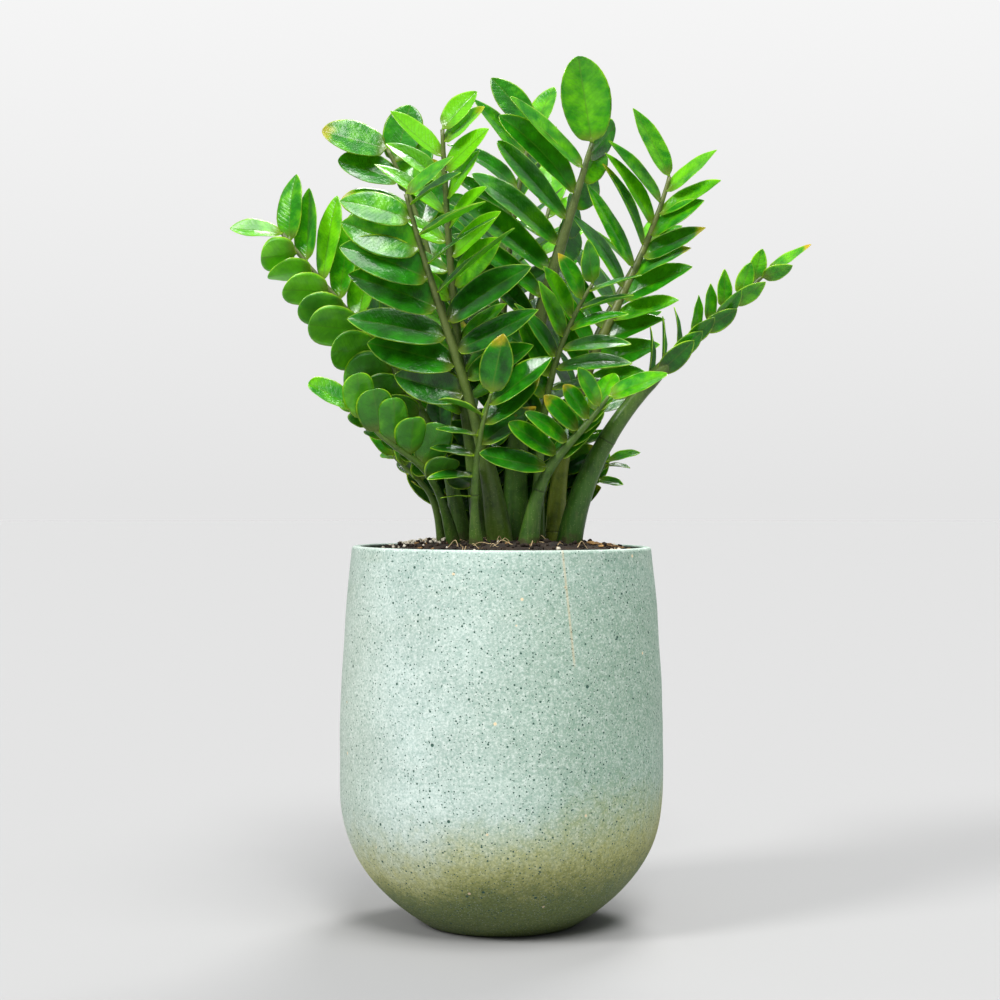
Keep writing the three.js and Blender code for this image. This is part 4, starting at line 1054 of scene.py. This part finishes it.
    rough = add(tree, "MapRange", {
        "Value": mottle, "From Min": 0.3, "From Max": 0.7, "To Min": 0.56, "To Max": 0.74,
    })[0]
    skin = add(tree, "BsdfPrincipled", {
        "Base Color": colour, "Roughness": rough, "IOR": 1.5, "Normal": normal,
    })[0]
    add(tree, "OutputMaterial", {"Surface": skin})
    return material


def crumbly(name):
    """One of the dry and loose stuffs, whose two colours mix in fine grains and slow patches, with a rough,
    matt skin."""
    darkest, palest, grain_size, roughness = STUFFS[name]
    material, tree = new_material(name)
    spot, fine = add(tree, "TexCoord")["Object"], METRE / grain_size
    grain = add(tree, "TexNoise", {"Vector": spot, "Scale": fine, "Detail": 5.0, "Roughness": 0.65})["Fac"]
    slow = add(tree, "TexNoise", {"Vector": spot, "Scale": fine / 8, "Detail": 2.0})["Fac"]
    both = add(tree, "Math", {0: grain, 1: slow}, operation="ADD")[0]
    share = add(tree, "MapRange", {"Value": both, "From Min": 0.75, "From Max": 1.25})[0]
    colour = add(tree, "Mix", {
        FACTOR: share, FIRST: linear(darkest), SECOND: linear(palest),
    }, **COLOURS)[MIXED]
    normal = add(tree, "Bump", {"Strength": 0.8, "Distance": 0.0006, "Height": grain})["Normal"]
    skin = add(tree, "BsdfPrincipled", {
        "Base Color": colour, "Roughness": roughness, "IOR": 1.45, "Normal": normal,
    })[0]
    add(tree, "OutputMaterial", {"Surface": skin})
    return material


# ---- the plant in its pot ----

leaf_finish, stalk_finish = waxy_leaflet(), fleshy_stalk()
sheaths = []
for number, frond in enumerate(FRONDS):
    node, line = frond["name"], midline(frond)
    corners = corners_of(node)
    places = [as_it_stands(place, corners) for place in leaf_places(frond, line, number)]
    places = [place for place in places if place is not None]
    if node in BEHIND:
        places += low_leaves(frond, line, number)
    loft, marks = leaflets(frond, number, places)
    make_piece(node + "_leaflets", loft, leaf_finish, "frond", (node,), **marks)
    loft, marks = stalk(frond, line, number, [place["share"] for place in places])
    make_piece(node + "_stalk", loft, stalk_finish, "frond", (node,), **marks)
    if "sheath" in FINISH[node]:
        sheaths.append(sheath(frond, line, *FINISH[node]["sheath"]))
make_piece("dry_sheaths", closed_loft(np.stack(sheaths)), crumbly("dried_sheath"), "frond")

loft, marks = pot()
make_piece("terrazzo_pot", loft, cast_terrazzo(), "pot", ("pot",), **marks)
peat = crumbly("peat_soil")
make_piece("soil_bed", soil(), peat, "soil", ("soil",))

# the loose grains: their spots, their least and greatest size, their stretch, their tilt and their seed
perlite = np.concatenate([spots_on_soil(36, 33), spots_on_soil(230, 34, (-72, 14), 20, 128)])
bark = np.concatenate([spots_on_soil(30, 36), spots_on_soil(110, 37, (98, 8), 20, 128)])
for name, finish, spots, sizes, stretch, tilt, seed in (
    ("soil_crumbs", peat, spots_on_soil(420, 31), (2.5, 6.5), (1, 0.85, 0.7), 60, 32),
    ("perlite", crumbly("perlite"), perlite, (2.5, 6.5), (1, 0.9, 0.8), 60, 35),
    ("bark_chips", crumbly("pine_bark"), bark, (4.0, 10.0), (1, 0.6, 0.3), 28, 38),
):
    make_piece(name, grains(spots, sizes, stretch, tilt, seed), finish, "soil")
make_piece("rootlets", rootlets(39, 26), crumbly("rootlet"), "soil")

# ---- floor, light and camera ----

BACKDROP_FOOT, BACKDROP_TOP = "#e4e4e4", "#f6f6f6"  # the surroundings as the camera sees them
BACKDROP_RISE = 0.25  # the share of straight up at which they are lightest
SKY_COLOUR = "#f2f7fa"
SKY_RISE = (0.2, 1.0)  # the share of straight up between which the sky brightens
SKY_STRENGTH = (0.22, 0.7)
CAMERA_PLACE = (-0.0015, -2.0, 0.421)  # in metres
FOCAL_LENGTH, SENSOR_WIDTH = 72, 36

# each lamp's name, the direction in which it shines, how wide a patch of sky it is in degrees, its strength
LAMPS = (
    ("key", (0.66, 0.46, -0.60), 16, 2.4),
    ("softbox", (-0.19, 0.28, -0.93), 30, 1.6),
    ("gloss", (-0.10, 0.62, -0.78), 20, 2.1),
    ("back", (-0.20, -0.60, -1.00), 20, 2.2),
)


def light_on_floor():
    """How brightly a white floor looks under the lamps and the sky: each lamp's strength times the steepness
    of its rays, over pi, and twice the mean of the sky's strength times its height."""
    lamps = sum(-unit(toward)[2] * strength for _, toward, _, strength in LAMPS) / np.pi
    height = np.linspace(0, 1, 501)
    sky = blend(*SKY_STRENGTH, ease(height, *SKY_RISE))
    return lamps + 2 * np.mean(sky * height) * np.array(linear(SKY_COLOUR)[:3])


def stage_floor():
    """A wide, plain, pale disc under the pot, of the grey that looks as bright as the backdrop's foot."""
    material, tree = new_material("pale_floor")
    grey = np.array(linear(BACKDROP_FOOT)[:3]) / light_on_floor()
    skin = add(tree, "BsdfDiffuse", {"Color": (*grey.tolist(), 1.0)})[0]
    add(tree, "OutputMaterial", {"Surface": skin})
    bpy.ops.mesh.primitive_circle_add(vertices=128, radius=40, fill_type="NGON", location=(0, 0, -0.0005))
    floor = bpy.context.object
    floor.name = "floor"
    floor.data.materials.append(material)


def studio():
    """A key light from the upper left, a soft one from overhead, a small one from the upper front that
    makes the leaflets shine, one from above and behind that shines through them, and a dim sky. The camera
    sees the surroundings as a backdrop that is as bright as the floor where they meet and gets lighter
    upwards."""
    world = bpy.data.worlds.new("studio")
    world.use_nodes = True
    tree = world.node_tree
    tree.nodes.clear()
    upward = add(tree, "SeparateXYZ", {0: add(tree, "TexCoord")["Generated"]})["Z"]
    share = add(tree, "MapRange", {"Value": upward, "From Min": 0.0, "From Max": BACKDROP_RISE})[0]
    seen = add(tree, "Mix", {
        FACTOR: share, FIRST: linear(BACKDROP_FOOT), SECOND: linear(BACKDROP_TOP),
    }, **COLOURS)[MIXED]
    backdrop = add(tree, "Background", {"Color": seen, "Strength": 1.0})[0]
    sky = add(tree, "MapRange", {
        "Value": upward, "From Min": SKY_RISE[0], "From Max": SKY_RISE[1],
        "To Min": SKY_STRENGTH[0], "To Max": SKY_STRENGTH[1],
    }, interpolation_type=SOFTLY)[0]
    fill = add(tree, "Background", {"Color": linear(SKY_COLOUR), "Strength": sky})[0]
    direct = add(tree, "LightPath")["Is Camera Ray"]
    both = add(tree, "MixShader", {0: direct, 1: fill, 2: backdrop})[0]
    add(tree, "OutputWorld", {"Surface": both})
    bpy.context.scene.world = world
    for name, toward, spread, strength in LAMPS:
        lamp = bpy.data.lights.new(name, "SUN")
        lamp.angle = np.radians(spread)
        lamp.energy = strength
        held = bpy.data.objects.new(name, lamp)
        held.rotation_euler = Vector(toward).to_track_quat("-Z", "Y").to_euler()
        bpy.context.scene.collection.objects.link(held)
    bpy.context.scene.view_settings.view_transform = "Standard"


def camera():
    """The photograph's camera: level, 2 m in front of the pot's axis and a little above its rim."""
    lens = bpy.data.cameras.new("camera")
    lens.lens = FOCAL_LENGTH
    lens.sensor_width = SENSOR_WIDTH
    held = bpy.data.objects.new("camera", lens)
    held.location = CAMERA_PLACE
    held.rotation_euler = (np.radians(90), 0, 0)
    bpy.context.scene.collection.objects.link(held)
    bpy.context.scene.camera = held


stage_floor()
studio()
camera()
